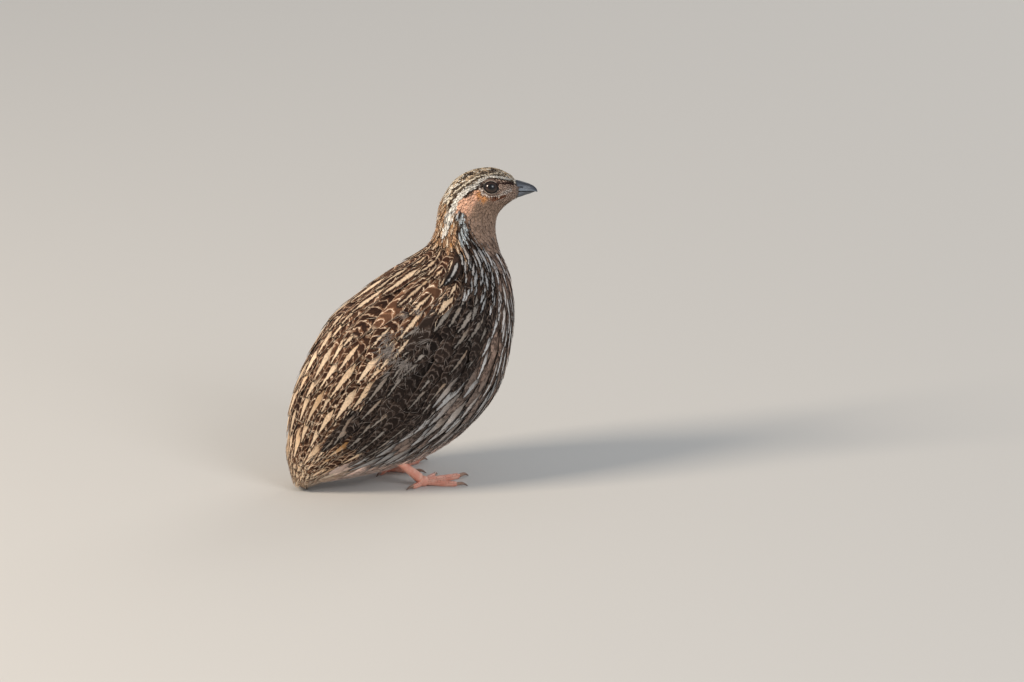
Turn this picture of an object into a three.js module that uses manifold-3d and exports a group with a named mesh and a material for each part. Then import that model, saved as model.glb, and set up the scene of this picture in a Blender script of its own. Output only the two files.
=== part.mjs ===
// A coturnix quail as a still, life-size model: a plump bird that stands low on both feet with its
// body steep, the tip of its short tail on the floor, neck up and head turned a little to its right.
// Millimetres, +Z up. The bird faces +X and its left side is +Y. The floor is z = 0.
import * as THREE from "three";
import { mergeVertices } from "three/addons/utils/BufferGeometryUtils.js";
import Module from "manifold-3d";

const wasm = await Module();
wasm.setup();

// Colours and finishes
const material = (color, roughness, metalness = 0) =>
  new THREE.MeshStandardMaterial({ color, roughness, metalness });
const BROWN_PLUMAGE = material(0x6b5138, 0.9);
const BUFF_PLUMAGE = material(0xa8906f, 0.9);
const HEAD_PLUMAGE = material(0x8d7152, 0.9);
const HORN = material(0x4c5158, 0.4);
const DARK_EYE = material(0x1c120c, 0.08);
const PINK_SKIN = material(0xc98f7d, 0.6);

const { smoothstep, clamp, lerp } = THREE.MathUtils;
const DEGREE = Math.PI / 180;

// Driving sizes
const GAP = 0.3; // between nodes that touch
const FINENESS = 0.05; // what a surface may move where its smallest triangles are joined up
const BODY_WIDTH = 58; // across the torso under the wings, at its widest
const HEAD_TURN = -18 * DEGREE; // to the bird's right
const TURN_AXIS_X = 28.4; // the neck's own axis, which the head turns about
const TURN_FROM_Z = 101; // where the turn begins, low on the neck
const TURN_TO_Z = 124; // where it is complete, under the chin

// Sections of the whole bird from the rump to the root of the bill. Each has a point on the back's
// outline and one on the belly's, as x and z, and a half width as a share of half the body's width.
const SECTIONS = [
  { at: "rump tip", back: [-49.5, 7.5], belly: [-49.1, 6.5], wide: 0.03 },
  { at: "rump", back: [-55.1, 15.0], belly: [-40.0, 3.6], wide: 0.36 },
  { at: "vent", back: [-56.4, 23.6], belly: [-26.5, 4.4], wide: 0.55 },
  { at: "thighs", back: [-55.8, 34.8], belly: [-9.5, 6.8], wide: 0.75 },
  { at: "loin", back: [-52.2, 48.4], belly: [5.1, 10.0], wide: 0.91 },
  { at: "belly", back: [-44.9, 63.1], belly: [20.1, 16.6], wide: 1.0 },
  { at: "flank", back: [-34.7, 78.4], belly: [33.2, 26.4], wide: 1.02 },
  { at: "keel", back: [-20.6, 89.1], belly: [43.2, 38.2], wide: 0.97 },
  { at: "shoulder", back: [-5.6, 98.4], belly: [48.8, 54.5], wide: 0.87 },
  { at: "breast", back: [5.6, 104.0], belly: [51.4, 73.0], wide: 0.73 },
  { at: "crop", back: [11.6, 108.3], belly: [49.6, 90.7], wide: 0.59 },
  { at: "neck base", back: [14.2, 112.9], belly: [45.2, 103.0], wide: 0.495 },
  { at: "neck", back: [15.8, 119.1], belly: [43.4, 110.8], wide: 0.43 },
  { at: "nape", back: [17.6, 125.4], belly: [43.4, 116.4], wide: 0.385 },
  { at: "throat", back: [20.3, 130.8], belly: [44.4, 120.0], wide: 0.365 },
  { at: "hind crown", back: [24.8, 136.6], belly: [45.9, 122.3], wide: 0.365 },
  { at: "ear", back: [32.0, 140.6], belly: [47.7, 124.1], wide: 0.365 },
  { at: "eye", back: [40.6, 141.8], belly: [49.6, 125.5], wide: 0.335 },
  { at: "brow", back: [46.2, 140.5], belly: [50.9, 126.3], wide: 0.26 },
  { at: "face", back: [49.8, 138.2], belly: [52.0, 126.7], wide: 0.18 },
  { at: "bill root", back: [51.8, 135.8], belly: [52.7, 127.1], wide: 0.12 },
];
const station = (name) => SECTIONS.findIndex((s) => s.at === name);
const LAST = SECTIONS.length - 1;
// The widest place of a section lies this share of its depth nearer the belly in the torso.
const TORSO_SAG = 0.1;

const backLine = new THREE.CatmullRomCurve3(
  SECTIONS.map((s) => new THREE.Vector3(s.back[0], 0, s.back[1])),
);
const bellyLine = new THREE.CatmullRomCurve3(
  SECTIONS.map((s) => new THREE.Vector3(s.belly[0], 0, s.belly[1])),
);
const widthLine = new THREE.CatmullRomCurve3(
  SECTIONS.map((s, i) => new THREE.Vector3(i, s.wide * BODY_WIDTH * 0.5, 0)),
);

// The neck twists and the head turns as one piece about the neck's upright axis.
function turned(p) {
  const angle = HEAD_TURN * smoothstep(p.z, TURN_FROM_Z, TURN_TO_Z);
  const x = p.x - TURN_AXIS_X;
  return new THREE.Vector3(
    TURN_AXIS_X + x * Math.cos(angle) - p.y * Math.sin(angle),
    x * Math.sin(angle) + p.y * Math.cos(angle),
    p.z,
  );
}

// A point of the plumage's outer surface before the head is turned. along counts sections, round is the
// angle from the back's midline towards the bird's left, and out is 1 on the surface and 0 on the axis.
function straightSkin(along, round, out = 1) {
  const t = clamp(along / LAST, 0, 1);
  const back = backLine.getPoint(t);
  const belly = bellyLine.getPoint(t);
  const halfWidth = widthLine.getPoint(t).y;
  const middle = back.clone().add(belly).multiplyScalar(0.5);
  const rise = back.clone().sub(belly).multiplyScalar(0.5);
  const sag = TORSO_SAG * (1 - smoothstep(along, station("breast"), station("neck")));
  const up = Math.cos(round) - sag * Math.sin(round) ** 2;
  const p = middle.addScaledVector(rise, up * out);
  p.y = halfWidth * Math.sin(round) * out;
  return p;
}

// How the surface runs at a place: its outward normal, and the length of one section and one radian.
function surfaceAt(along, round) {
  const step = 0.02;
  const headward = straightSkin(along + step, round).sub(straightSkin(along - step, round));
  const leftward = straightSkin(along, round + step).sub(straightSkin(along, round - step));
  const perSection = headward.length() / (2 * step);
  const perRadian = leftward.length() / (2 * step);
  const normal = headward.normalize().cross(leftward.normalize()).normalize();
  return { point: straightSkin(along, round), normal, perSection, perRadian };
}

// A point at a height above the surface, with the head's turn.
function aboveSkin(along, round, height) {
  const { point, normal } = surfaceAt(along, round);
  return turned(point.addScaledVector(normal, height));
}

// Repeatable draws from -1 to 1, for what differs from feather to feather.
function draws(seed) {
  let state = seed;
  return () => {
    state = (state * 16807) % 2147483647;
    return (2 * state) / 2147483647 - 1;
  };
}

// Geometry to solid and back
function solidOf(geometry) {
  const bare = geometry.index ? geometry.clone() : geometry;
  bare.deleteAttribute("normal");
  bare.deleteAttribute("uv");
  const merged = mergeVertices(bare, 1e-4);
  const vertProperties = new Float32Array(merged.attributes.position.array);
  const triVerts = new Uint32Array(merged.index.array);
  const made = () => new wasm.Manifold(new wasm.Mesh({ numProp: 3, vertProperties, triVerts }));
  let solid = made();
  if (solid.volume() < 0) {
    for (let i = 0; i < triVerts.length; i += 3)
      [triVerts[i + 1], triVerts[i + 2]] = [triVerts[i + 2], triVerts[i + 1]];
    solid = made();
  }
  return solid;
}

function geometryOf(solid) {
  const { numProp, vertProperties, triVerts } = solid.getMesh();
  const places = [];
  for (let i = 0; i < vertProperties.length; i += numProp)
    places.push(vertProperties[i], vertProperties[i + 1], vertProperties[i + 2]);
  const geometry = new THREE.BufferGeometry();
  geometry.setAttribute("position", new THREE.Float32BufferAttribute(places, 3));
  geometry.setIndex(new THREE.BufferAttribute(triVerts, 1));
  geometry.computeVertexNormals();
  return geometry;
}

// Only the largest closed surface, so that no scrap and no sealed hollow is left.
const largest = (solid) =>
  solid.decompose().reduce((a, b) => (b.volume() > a.volume() ? b : a));

const floorSolid = () => solidOf(new THREE.BoxGeometry(300, 300, 20).translate(0, 0, -10));

const joined = (solids) => solids.reduce((a, b) => a.add(b));

function warped(geometry, place) {
  const position = geometry.getAttribute("position");
  const p = new THREE.Vector3();
  for (let i = 0; i < position.count; i++) {
    p.fromBufferAttribute(position, i);
    position.setXYZ(i, ...place(p).toArray());
  }
  return geometry;
}

// A length of the bird between two sections, closed by flat ends. swell moves its sides outwards.
function bodyLength(from, to, { around = 36, rings = 20, swell = 0 } = {}) {
  const drum = new THREE.CylinderGeometry(1, 1, 1, around, rings);
  return solidOf(
    warped(drum, (p) => {
      const out = Math.hypot(p.x, p.z);
      const round = Math.atan2(p.x, p.z);
      const along = lerp(from, to, p.y + 0.5);
      if (out < 1e-3) return turned(straightSkin(along, 0, 0));
      return out > 0.99 ? aboveSkin(along, round, swell) : turned(straightSkin(along, round, out));
    }),
  );
}

// A tube with round ends along points, each with a radius. flatten squeezes it along the reference.
function limb(points, radii, { around = 10, rings = 12, reference = [0, 1, 0], flatten = 1 } = {}) {
  const path = new THREE.CatmullRomCurve3(points.map((p) => new THREE.Vector3(...p)));
  const thickness = new THREE.CatmullRomCurve3(radii.map((r, i) => new THREE.Vector3(i, r, 0)));
  const roundEnd = 3;
  const ball = new THREE.SphereGeometry(1, around, rings);
  return solidOf(
    warped(ball, (p) => {
      const polar = Math.acos(clamp(p.y, -1, 1));
      const t = polar / Math.PI;
      const centre = path.getPoint(t);
      const tangent = path.getTangent(t);
      const side = new THREE.Vector3(...reference).cross(tangent).normalize();
      const up = tangent.clone().cross(side).normalize();
      const radius = thickness.getPoint(t).y * Math.min(1, roundEnd * Math.sin(polar));
      const round = Math.atan2(p.x, p.z);
      return centre
        .addScaledVector(side, radius * Math.sin(round))
        .addScaledVector(up, radius * flatten * Math.cos(round));
    }),
  );
}

// A curved slab with the same triangles on both faces. place takes along and across, each from 0 to 1,
// and whether the point is on the upper face.
function slab(lengthwise, crosswise, place) {
  const across = crosswise + 1;
  const count = (lengthwise + 1) * across;
  const places = [];
  for (const upper of [true, false])
    for (let i = 0; i <= lengthwise; i++)
      for (let j = 0; j <= crosswise; j++)
        places.push(...place(i / lengthwise, j / crosswise, upper).toArray());
  const index = [];
  const quad = (a, b, c, d) => index.push(a, b, c, a, c, d);
  for (let i = 0; i < lengthwise; i++)
    for (let j = 0; j < crosswise; j++) {
      const a = i * across + j;
      index.push(a, a + across, a + across + 1, a, a + across + 1, a + 1);
      index.push(count + a, count + a + across + 1, count + a + across);
      index.push(count + a, count + a + 1, count + a + across + 1);
    }
  for (let i = 0; i < lengthwise; i++) {
    const left = i * across;
    const right = left + crosswise;
    quad(left, count + left, count + left + across, left + across);
    quad(right, right + across, count + right + across, count + right);
  }
  const end = lengthwise * across;
  for (let j = 0; j < crosswise; j++) {
    quad(j, j + 1, count + j + 1, count + j);
    quad(end + j, count + end + j, count + end + j + 1, end + j + 1);
  }
  const geometry = new THREE.BufferGeometry();
  geometry.setAttribute("position", new THREE.Float32BufferAttribute(places, 3));
  geometry.setIndex(index);
  return solidOf(geometry);
}

// The outline of a vane: how far along each row of points lies, and its share of the full width.
const VANE_ROWS = [0, 0.34, 0.66, 0.88, 1];
const VANE_WIDTHS = [0.62, 0.94, 1, 0.74, 0.26];

// placeAt takes how far down the vane a point lies, how far across from -1 to 1, and which face it is on.
function vane(placeAt) {
  return slab(VANE_ROWS.length - 1, 2, (i, j, upper) => {
    const row = Math.round(i * (VANE_ROWS.length - 1));
    return placeAt(VANE_ROWS[row], (j * 2 - 1) * VANE_WIDTHS[row], upper);
  });
}

// Wings: a pad over the flank, with its feathers in tiers that overlap towards the tail
const WING = {
  front: 8.8, // in sections
  rear: 3.1,
  upper: 30 * DEGREE, // round from the back
  lower: 97 * DEGREE,
  thick: 2.1,
  rim: 0.9,
  sunk: 1, // below the torso's surface, before that is cut away
};

function wingHeight(along, round) {
  const p = (2 * (along - WING.rear)) / (WING.front - WING.rear) - 1;
  const q = (2 * (round - WING.upper)) / (WING.lower - WING.upper) - 1;
  const fall = clamp(1 - p ** 4, 0, 1) * clamp(1 - q ** 4, 0, 1);
  return WING.rim + (WING.thick - WING.rim) * fall;
}

// The pad narrows to a round wrist in front and to the flight feathers behind. side is 1 on the left.
function wingPad(side) {
  return slab(9, 5, (i, j, upper) => {
    const narrow = 0.55 + 0.45 * Math.sin(Math.PI * (0.12 + 0.8 * i)) ** 0.7;
    const along = lerp(WING.front, WING.rear, i);
    const middle = (WING.upper + WING.lower) / 2;
    const round = middle + (j - 0.5) * (WING.lower - WING.upper) * narrow;
    return aboveSkin(along, side * round, upper ? wingHeight(along, round) : -WING.sunk);
  });
}

// Each tier from the shoulder back: where its uppermost root lies in sections, how much further
// forward its lowest root is (rake), the arc its roots cover in degrees from the back, how many
// feathers it has, their length and width, how far a tip drifts towards the belly for each millimetre
// of length, and how much the whole tier lies over the others.
const WING_TIERS = [
  { name: "marginal coverts", along: 8.7, rake: 0.1, arc: [58, 88], count: 4, size: [11, 9.5], drift: 0.12 },
  { name: "lesser coverts", along: 8, rake: 0.2, arc: [48, 92], count: 5, size: [12.5, 10.5], drift: 0.06 },
  { name: "median coverts", along: 7.1, rake: 0.35, arc: [45, 94], count: 6, size: [14.5, 10.5] },
  { name: "greater coverts", along: 6.1, rake: 0.5, arc: [43, 95], count: 6, size: [18, 11], drift: -0.05 },
  { name: "secondaries", along: 4.9, rake: 0.6, arc: [45, 94], count: 6, size: [21, 11], drift: -0.1 },
  {
    name: "primaries",
    along: 3.9,
    rake: 0.5,
    arc: [60, 90],
    count: 4,
    size: [24, 8.5],
    drift: -0.22,
    over: -0.2,
  },
  { name: "first scapulars", along: 8.7, arc: [20, 41], count: 2, size: [18, 12], over: 0.3 },
  { name: "second scapulars", along: 7.6, arc: [16, 39], count: 2, size: [20, 13], over: 0.3 },
  { name: "third scapulars", along: 6.5, arc: [15, 38], count: 2, size: [21, 13.5], over: 0.3 },
  { name: "last scapulars", along: 5.4, arc: [16, 39], count: 2, size: [22, 13.5], over: 0.3 },
  { name: "tertials", along: 4.3, arc: [20, 50], count: 3, size: [23, 12], drift: -0.03, over: 0.1 },
];
const VANE = {
  root: -0.3, // a covert's root against the pad's surface
  tip: 0.9, // and its tip
  shaft: 0.35, // how far the shaft's line stands over the edges
  tilt: 0.22, // one edge over its neighbour's
  vary: 0.06, // how much the sizes differ, as a share
  stray: 0.03, // how much the drifts differ
};

function wingFeather({ size, drift = 0, over = 0 }, side, along, degrees, draw) {
  const length = size[0] * (1 + VANE.vary * draw());
  const width = size[1] * (1 + VANE.vary * draw());
  const lean = drift + VANE.stray * draw();
  const root = degrees * DEGREE;
  const { perSection, perRadian } = surfaceAt(along, root);
  return vane((down, across, upper) => {
    const place = along - (down * length) / perSection;
    const round = root + (across * width * 0.5 + down * length * lean) / perRadian;
    const lift = lerp(VANE.root, VANE.tip, down) + VANE.shaft * (1 - across * across);
    const top = wingHeight(place, round) + lift + across * VANE.tilt + over;
    return aboveSkin(place, side * round, upper ? top : -WING.sunk);
  });
}

function wing(side, torsoRoom) {
  const draw = draws(7);
  const feathers = WING_TIERS.flatMap((tier) =>
    Array.from({ length: tier.count }, (_, i) => {
      const share = i / (tier.count - 1);
      const along = tier.along + (tier.rake ?? 0) * share;
      return wingFeather(tier, side, along, lerp(tier.arc[0], tier.arc[1], share), draw);
    }),
  );
  return joined([wingPad(side), ...feathers]).subtract(torsoRoom);
}

// Tail: the end of the rump with its coverts, over short soft tail feathers that reach the floor
const TAIL = {
  cut: 1.9, // where it leaves the torso, in sections
  core: -0.6, // the rump's core against the plumage's surface
  feathers: 7,
  halfSpread: 8.5,
  width: 7.5,
  thick: 0.7,
  layer: 0.8, // how much the middle feathers lie over the outer ones
  tilt: 0.22,
  shorter: 0.1, // the outer feathers, as a share
  rootAt: 0.2, // as a share of the tail's line
  roundness: 0.03, // how the tail curves down to its sides
};
const tailLine = new THREE.CatmullRomCurve3(
  [
    [-54.9, 30],
    [-55.9, 20],
    [-54.6, 10],
    [-51, -0.5],
  ].map(([x, z]) => new THREE.Vector3(x, 0, z)),
);

function tailFeather(spread) {
  return vane((down, across, upper) => {
    const t = lerp(TAIL.rootAt, 1 - TAIL.shorter * spread * spread, down);
    const tangent = tailLine.getTangent(t);
    const outward = new THREE.Vector3(tangent.z, 0, -tangent.x);
    const y = spread * TAIL.halfSpread * lerp(0.55, 1, down) + across * TAIL.width * 0.5;
    const roof = -TAIL.roundness * y * y;
    const lift = TAIL.layer * (1 - Math.abs(spread)) - across * Math.sign(spread) * TAIL.tilt;
    const p = tailLine.getPoint(t).addScaledVector(outward, roof + lift - (upper ? 0 : TAIL.thick));
    p.y = y;
    return p;
  });
}

// Coverts from the rump down over the tail. arc is the step round the back between two of them.
const TAIL_COVERTS = [
  { name: "upper", along: 2.4, arc: 27, count: 5, size: [13, 10] },
  { name: "lower", along: 1.5, arc: 30, count: 3, size: [12, 9] },
];
const COVERT_DEPTH = 1.6; // how far down into the rump they go

function tailCovert({ along, size }, degrees, draw) {
  const length = size[0] * (1 + VANE.vary * draw());
  const root = degrees * DEGREE;
  const { perSection, perRadian } = surfaceAt(along, root);
  return vane((down, across, upper) => {
    const place = clamp(along - (down * length) / perSection, 0.3, TAIL.cut);
    const round = root + (across * size[1] * 0.5) / perRadian;
    const lift = lerp(-0.4, 0.1, down) - 0.3 * across * across;
    return aboveSkin(place, round, upper ? lift : -COVERT_DEPTH);
  });
}

function tail(torsoRoom) {
  const draw = draws(3);
  const core = bodyLength(0.1, TAIL.cut, { around: 28, rings: 8, swell: TAIL.core });
  const feathers = Array.from({ length: TAIL.feathers }, (_, i) =>
    tailFeather((2 * i) / (TAIL.feathers - 1) - 1),
  );
  const coverts = TAIL_COVERTS.flatMap((tier) =>
    Array.from({ length: tier.count }, (_, i) =>
      tailCovert(tier, (i - (tier.count - 1) / 2) * tier.arc, draw),
    ),
  );
  return joined([core, ...feathers, ...coverts]).subtract(torsoRoom).subtract(floorSolid());
}

// Head: an eye in its socket, the line of the mouth, and the bill. The eye's ball lies deep in the head.
// Its lids are a thicker ball over it with an oval opening.
const EYE = { x: 40.5, z: 134.9, radius: 3.7, deep: 2.8, lid: 0.55, long: 2.85, high: 2.4, slant: -12 };
const MOUTH = { z: 130.8, gapeX: 49.9, long: 7, open: 0.5 };
// The bill's sections from root to tip: the ridge, the underside and half the width.
const BILL = [
  { x: 52.4, top: 135.5, low: 127.2, half: 3.2 },
  { x: 54.3, top: 135.0, low: 127.7, half: 2.95 },
  { x: 56.4, top: 134.3, low: 128.4, half: 2.5 },
  { x: 58.6, top: 133.5, low: 128.9, half: 1.95 },
  { x: 60.4, top: 132.5, low: 129.4, half: 1.3 },
  { x: 61.9, top: 130.8, low: 129.9, half: 0.4 },
];
const BITE = { rootZ: 130.8, tipZ: 130.5, hook: 0.9 }; // where the halves meet, bent down at the tip
const LOWER_TIP = 0.86; // where the lower half ends, as a share of the upper's length
const LOWER_WIDTH = 0.9;
const BILL_TAPER = 0.2; // how much narrower it is at its ridge
const NOSTRIL = { x: 53.9, z: 133.2, long: 1.3, high: 0.4 };

// Where the left side of the head is at the eye, and the way the eye looks out.
function eyePlace() {
  let best = null;
  for (let along = station("ear"); along < station("brow"); along += 0.05)
    for (let round = 0.6; round < 2.2; round += 0.05) {
      const p = straightSkin(along, round);
      const far = Math.hypot(p.x - EYE.x, p.z - EYE.z);
      if (!best || far < best.far) best = { far, along, round };
    }
  const { point, normal } = surfaceAt(best.along, best.round);
  return { normal, centre: point.clone().addScaledVector(normal, -EYE.deep) };
}

function placedOnHead(geometry, mirror) {
  return solidOf(
    warped(geometry, (p) => turned(new THREE.Vector3(p.x, p.y * mirror, p.z))),
  );
}

const ballAt = (centre, radius, around = 18, rings = 10) =>
  new THREE.SphereGeometry(radius, around, rings).translate(...centre.toArray());

// An oval shaft along the way the eye looks, which opens the lids.
function lidOpening({ normal, centre }) {
  const forward = new THREE.Vector3(Math.cos(EYE.slant * DEGREE), 0, Math.sin(EYE.slant * DEGREE));
  const upward = normal.clone().cross(forward).normalize();
  forward.crossVectors(upward, normal);
  const shaft = new THREE.CylinderGeometry(1, 1, 2 * EYE.radius, 20).translate(0, EYE.radius, 0);
  shaft.scale(EYE.long, 1, EYE.high);
  shaft.applyMatrix4(new THREE.Matrix4().makeBasis(forward, normal, upward.negate()));
  return shaft.translate(...centre.toArray());
}

function head(headStart) {
  const place = eyePlace();
  const parts = [1, -1].map((mirror) => ({
    lids: placedOnHead(ballAt(place.centre, EYE.radius + GAP + EYE.lid), mirror),
    socket: placedOnHead(ballAt(place.centre, EYE.radius + GAP), mirror),
    opening: placedOnHead(lidOpening(place), mirror),
  }));
  let solid = bodyLength(headStart, LAST, { around: 32, rings: 14 });
  for (const { lids } of parts) solid = solid.add(lids);
  for (const { socket, opening } of parts) solid = solid.subtract(socket).subtract(opening);
  const mouth = new THREE.BoxGeometry(MOUTH.long, 12, MOUTH.open);
  mouth.translate(MOUTH.gapeX + MOUTH.long / 2, 0, MOUTH.z);
  return solid.subtract(placedOnHead(mouth, 1));
}

const eye = (mirror) => placedOnHead(ballAt(eyePlace().centre, EYE.radius), mirror);

// The bill starts a gap in front of the head's end, which leans a little.
function billRootX(z) {
  const { back, belly } = SECTIONS[LAST];
  return lerp(back[0], belly[0], (back[1] - z) / (back[1] - belly[1])) + GAP;
}

const billLine = (key) =>
  new THREE.CatmullRomCurve3(BILL.map((section) => new THREE.Vector3(section.x, section[key], 0)));
const billTop = billLine("top");
const billLow = billLine("low");
const billHalfWidth = billLine("half");

// Half a bill from root to tip, between its bite line and its ridge or its underside.
function billHalf(upper) {
  const drum = new THREE.CylinderGeometry(1, 1, 1, 20, 10);
  const reach = upper ? 1 : LOWER_TIP;
  const half = warped(drum, (p) => {
    const t = (p.y + 0.5) * reach;
    const ease = upper ? 1 : 0.1 + 0.9 * Math.sqrt(1 - (t / reach) ** 4);
    const bite = lerp(BITE.rootZ, BITE.tipZ, t) - BITE.hook * t ** 5 + (upper ? 0.5 : -0.5) * GAP;
    const edge = (upper ? billTop : billLow).getPoint(t);
    const rise = Math.max(0, p.z);
    const z = bite + (edge.y - bite) * rise * ease;
    const x = Math.max(edge.x, billRootX(z));
    const width = billHalfWidth.getPoint(t).y * ease * (upper ? 1 : LOWER_WIDTH);
    return turned(new THREE.Vector3(x, width * p.x * (1 - BILL_TAPER * rise), z));
  });
  return solidOf(half);
}

function upperBill() {
  let solid = billHalf(true);
  for (const mirror of [1, -1]) {
    const slit = new THREE.SphereGeometry(1, 10, 6).scale(NOSTRIL.long, 0.6, NOSTRIL.high);
    slit.rotateY(0.2).translate(NOSTRIL.x, 2.5, NOSTRIL.z);
    solid = solid.subtract(placedOnHead(slit, mirror));
  }
  return solid;
}

const lowerBill = () => billHalf(false);

// Legs: the right foot is a step ahead. Each toe heads off so many degrees to the left of straight on.
const FEET = {
  right: { x: 3.2, y: -15, hock: [-15.4, -14, 18.6], inner: 48, middle: 14, outer: -26, hind: 205 },
  left: { x: -3.6, y: 12, hock: [-21.4, 13, 19.2], inner: -34, middle: 22, outer: 58, hind: 222 },
};
const TOES = [
  { name: "inner", length: 14.5, radius: 1.35 },
  { name: "middle", length: 21.5, radius: 1.5 },
  { name: "outer", length: 16.5, radius: 1.35 },
  { name: "hind", length: 7.5, radius: 1.2 },
];
const CLAW = 3.6;
const TARSUS = [2.4, 1.85, 2.4]; // radius at the ankle, the middle and the hock
const PALM = { radius: 2.5, height: 2.1 };
const FLOOR_FLAT = 0.3; // how deep each toe's pads are flattened by the floor

function toe(foot, { name, length, radius }) {
  const angle = foot[name] * DEGREE;
  const [cos, sin] = [Math.cos(angle), Math.sin(angle)];
  const low = radius - FLOOR_FLAT;
  const at = (far, z) => [foot.x + cos * far, foot.y + sin * far, z];
  const finger = limb(
    [at(-1, PALM.height), at(length * 0.28, low + 0.5), at(length * 0.62, low + 0.1), at(length, low)],
    [radius * 1.1, radius * 1.02, radius * 0.95, radius * 0.72],
    { around: 8, rings: 8, reference: [0, 0, 1] },
  );
  const claw = limb(
    [at(length - 2.6, low), at(length + CLAW * 0.35, low + 0.25), at(length + CLAW, 0.35)],
    [radius * 0.66, radius * 0.5, 0.16],
    { around: 6, rings: 5, reference: [0, 0, 1] },
  );
  return finger.add(claw);
}

function leg(foot, room) {
  const ankle = [foot.x, foot.y, PALM.height];
  const shin = ankle.map((c, i) => lerp(c, foot.hock[i], 0.5));
  const tarsus = limb([ankle, shin, foot.hock], TARSUS, { around: 10, rings: 8, flatten: 0.85 });
  const palm = solidOf(new THREE.SphereGeometry(PALM.radius, 10, 6).translate(...ankle));
  const whole = joined([tarsus, palm, ...TOES.map((t) => toe(foot, t))]);
  return whole.subtract(room).subtract(floorSolid());
}

// Assembly
const quail = new THREE.Group();
function node(name, solid, look) {
  const mesh = new THREE.Mesh(geometryOf(largest(solid.simplify(FINENESS))), look);
  mesh.name = name;
  quail.add(mesh);
}

// The torso, neck and head are lengths of one form. A thin cut between two is a small share of a section.
const CUTS = { tail: 0.04, neck: 0.07, head: 0.12 };
const neckStart = station("neck base") - 0.35;
const headStart = station("throat") + 0.06;
const torsoRoom = bodyLength(TAIL.cut, neckStart + 0.3, { swell: GAP });
const torso = bodyLength(TAIL.cut + CUTS.tail, neckStart);
const neck = bodyLength(neckStart + CUTS.neck, headStart - CUTS.head, { around: 32, rings: 8 });

node("torso", torso, BUFF_PLUMAGE);
node("neck", neck, HEAD_PLUMAGE);
node("head", head(headStart), HEAD_PLUMAGE);
node("eye_left", eye(1), DARK_EYE);
node("eye_right", eye(-1), DARK_EYE);
node("upper_bill", upperBill(), HORN);
node("lower_bill", lowerBill(), HORN);

node("wing_left", wing(1, torsoRoom), BROWN_PLUMAGE);
node("wing_right", wing(-1, torsoRoom), BROWN_PLUMAGE);
node("tail", tail(torsoRoom), BROWN_PLUMAGE);

for (const [side, foot] of Object.entries(FEET))
  node(`leg_${side}`, leg(foot, torsoRoom), PINK_SKIN);

// The origin is on the floor under the middle of the bird's outline.
const outline = new THREE.Box3().setFromObject(quail);
const centre = outline.getCenter(new THREE.Vector3());
quail.position.set(-centre.x, -centre.y, -outline.min.z);

export default quail;
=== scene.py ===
"""The looks of a life-size coturnix quail: one skin under a coat of solid feathers, with eyes, bill and
scaled feet. Sizes are in millimetres in the part's own frame until a mesh is made, and +X is ahead.

A place on the body is a, counted in sections from the rump's tip to the bill, and r, the angle round from
the back in radians, towards the bird's left. deg is that angle in degrees and without its sign."""

import math

import bpy
import numpy as np
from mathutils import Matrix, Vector
from mathutils.kdtree import KDTree


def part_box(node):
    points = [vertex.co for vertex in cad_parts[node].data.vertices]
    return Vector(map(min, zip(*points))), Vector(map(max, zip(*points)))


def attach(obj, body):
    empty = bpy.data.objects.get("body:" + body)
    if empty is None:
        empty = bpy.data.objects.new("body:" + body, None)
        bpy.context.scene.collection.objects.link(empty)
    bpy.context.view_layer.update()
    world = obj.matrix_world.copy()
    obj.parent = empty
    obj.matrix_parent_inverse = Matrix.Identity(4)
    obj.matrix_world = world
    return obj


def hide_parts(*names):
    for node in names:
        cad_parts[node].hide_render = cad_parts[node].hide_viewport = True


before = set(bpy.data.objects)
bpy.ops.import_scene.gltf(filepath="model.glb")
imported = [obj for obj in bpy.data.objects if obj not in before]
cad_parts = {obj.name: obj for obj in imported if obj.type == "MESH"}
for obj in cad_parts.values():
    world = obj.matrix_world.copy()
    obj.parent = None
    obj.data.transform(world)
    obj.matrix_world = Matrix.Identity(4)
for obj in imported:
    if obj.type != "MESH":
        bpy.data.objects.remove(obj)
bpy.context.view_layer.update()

MM = 0.001
rng = np.random.default_rng(11)

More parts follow.
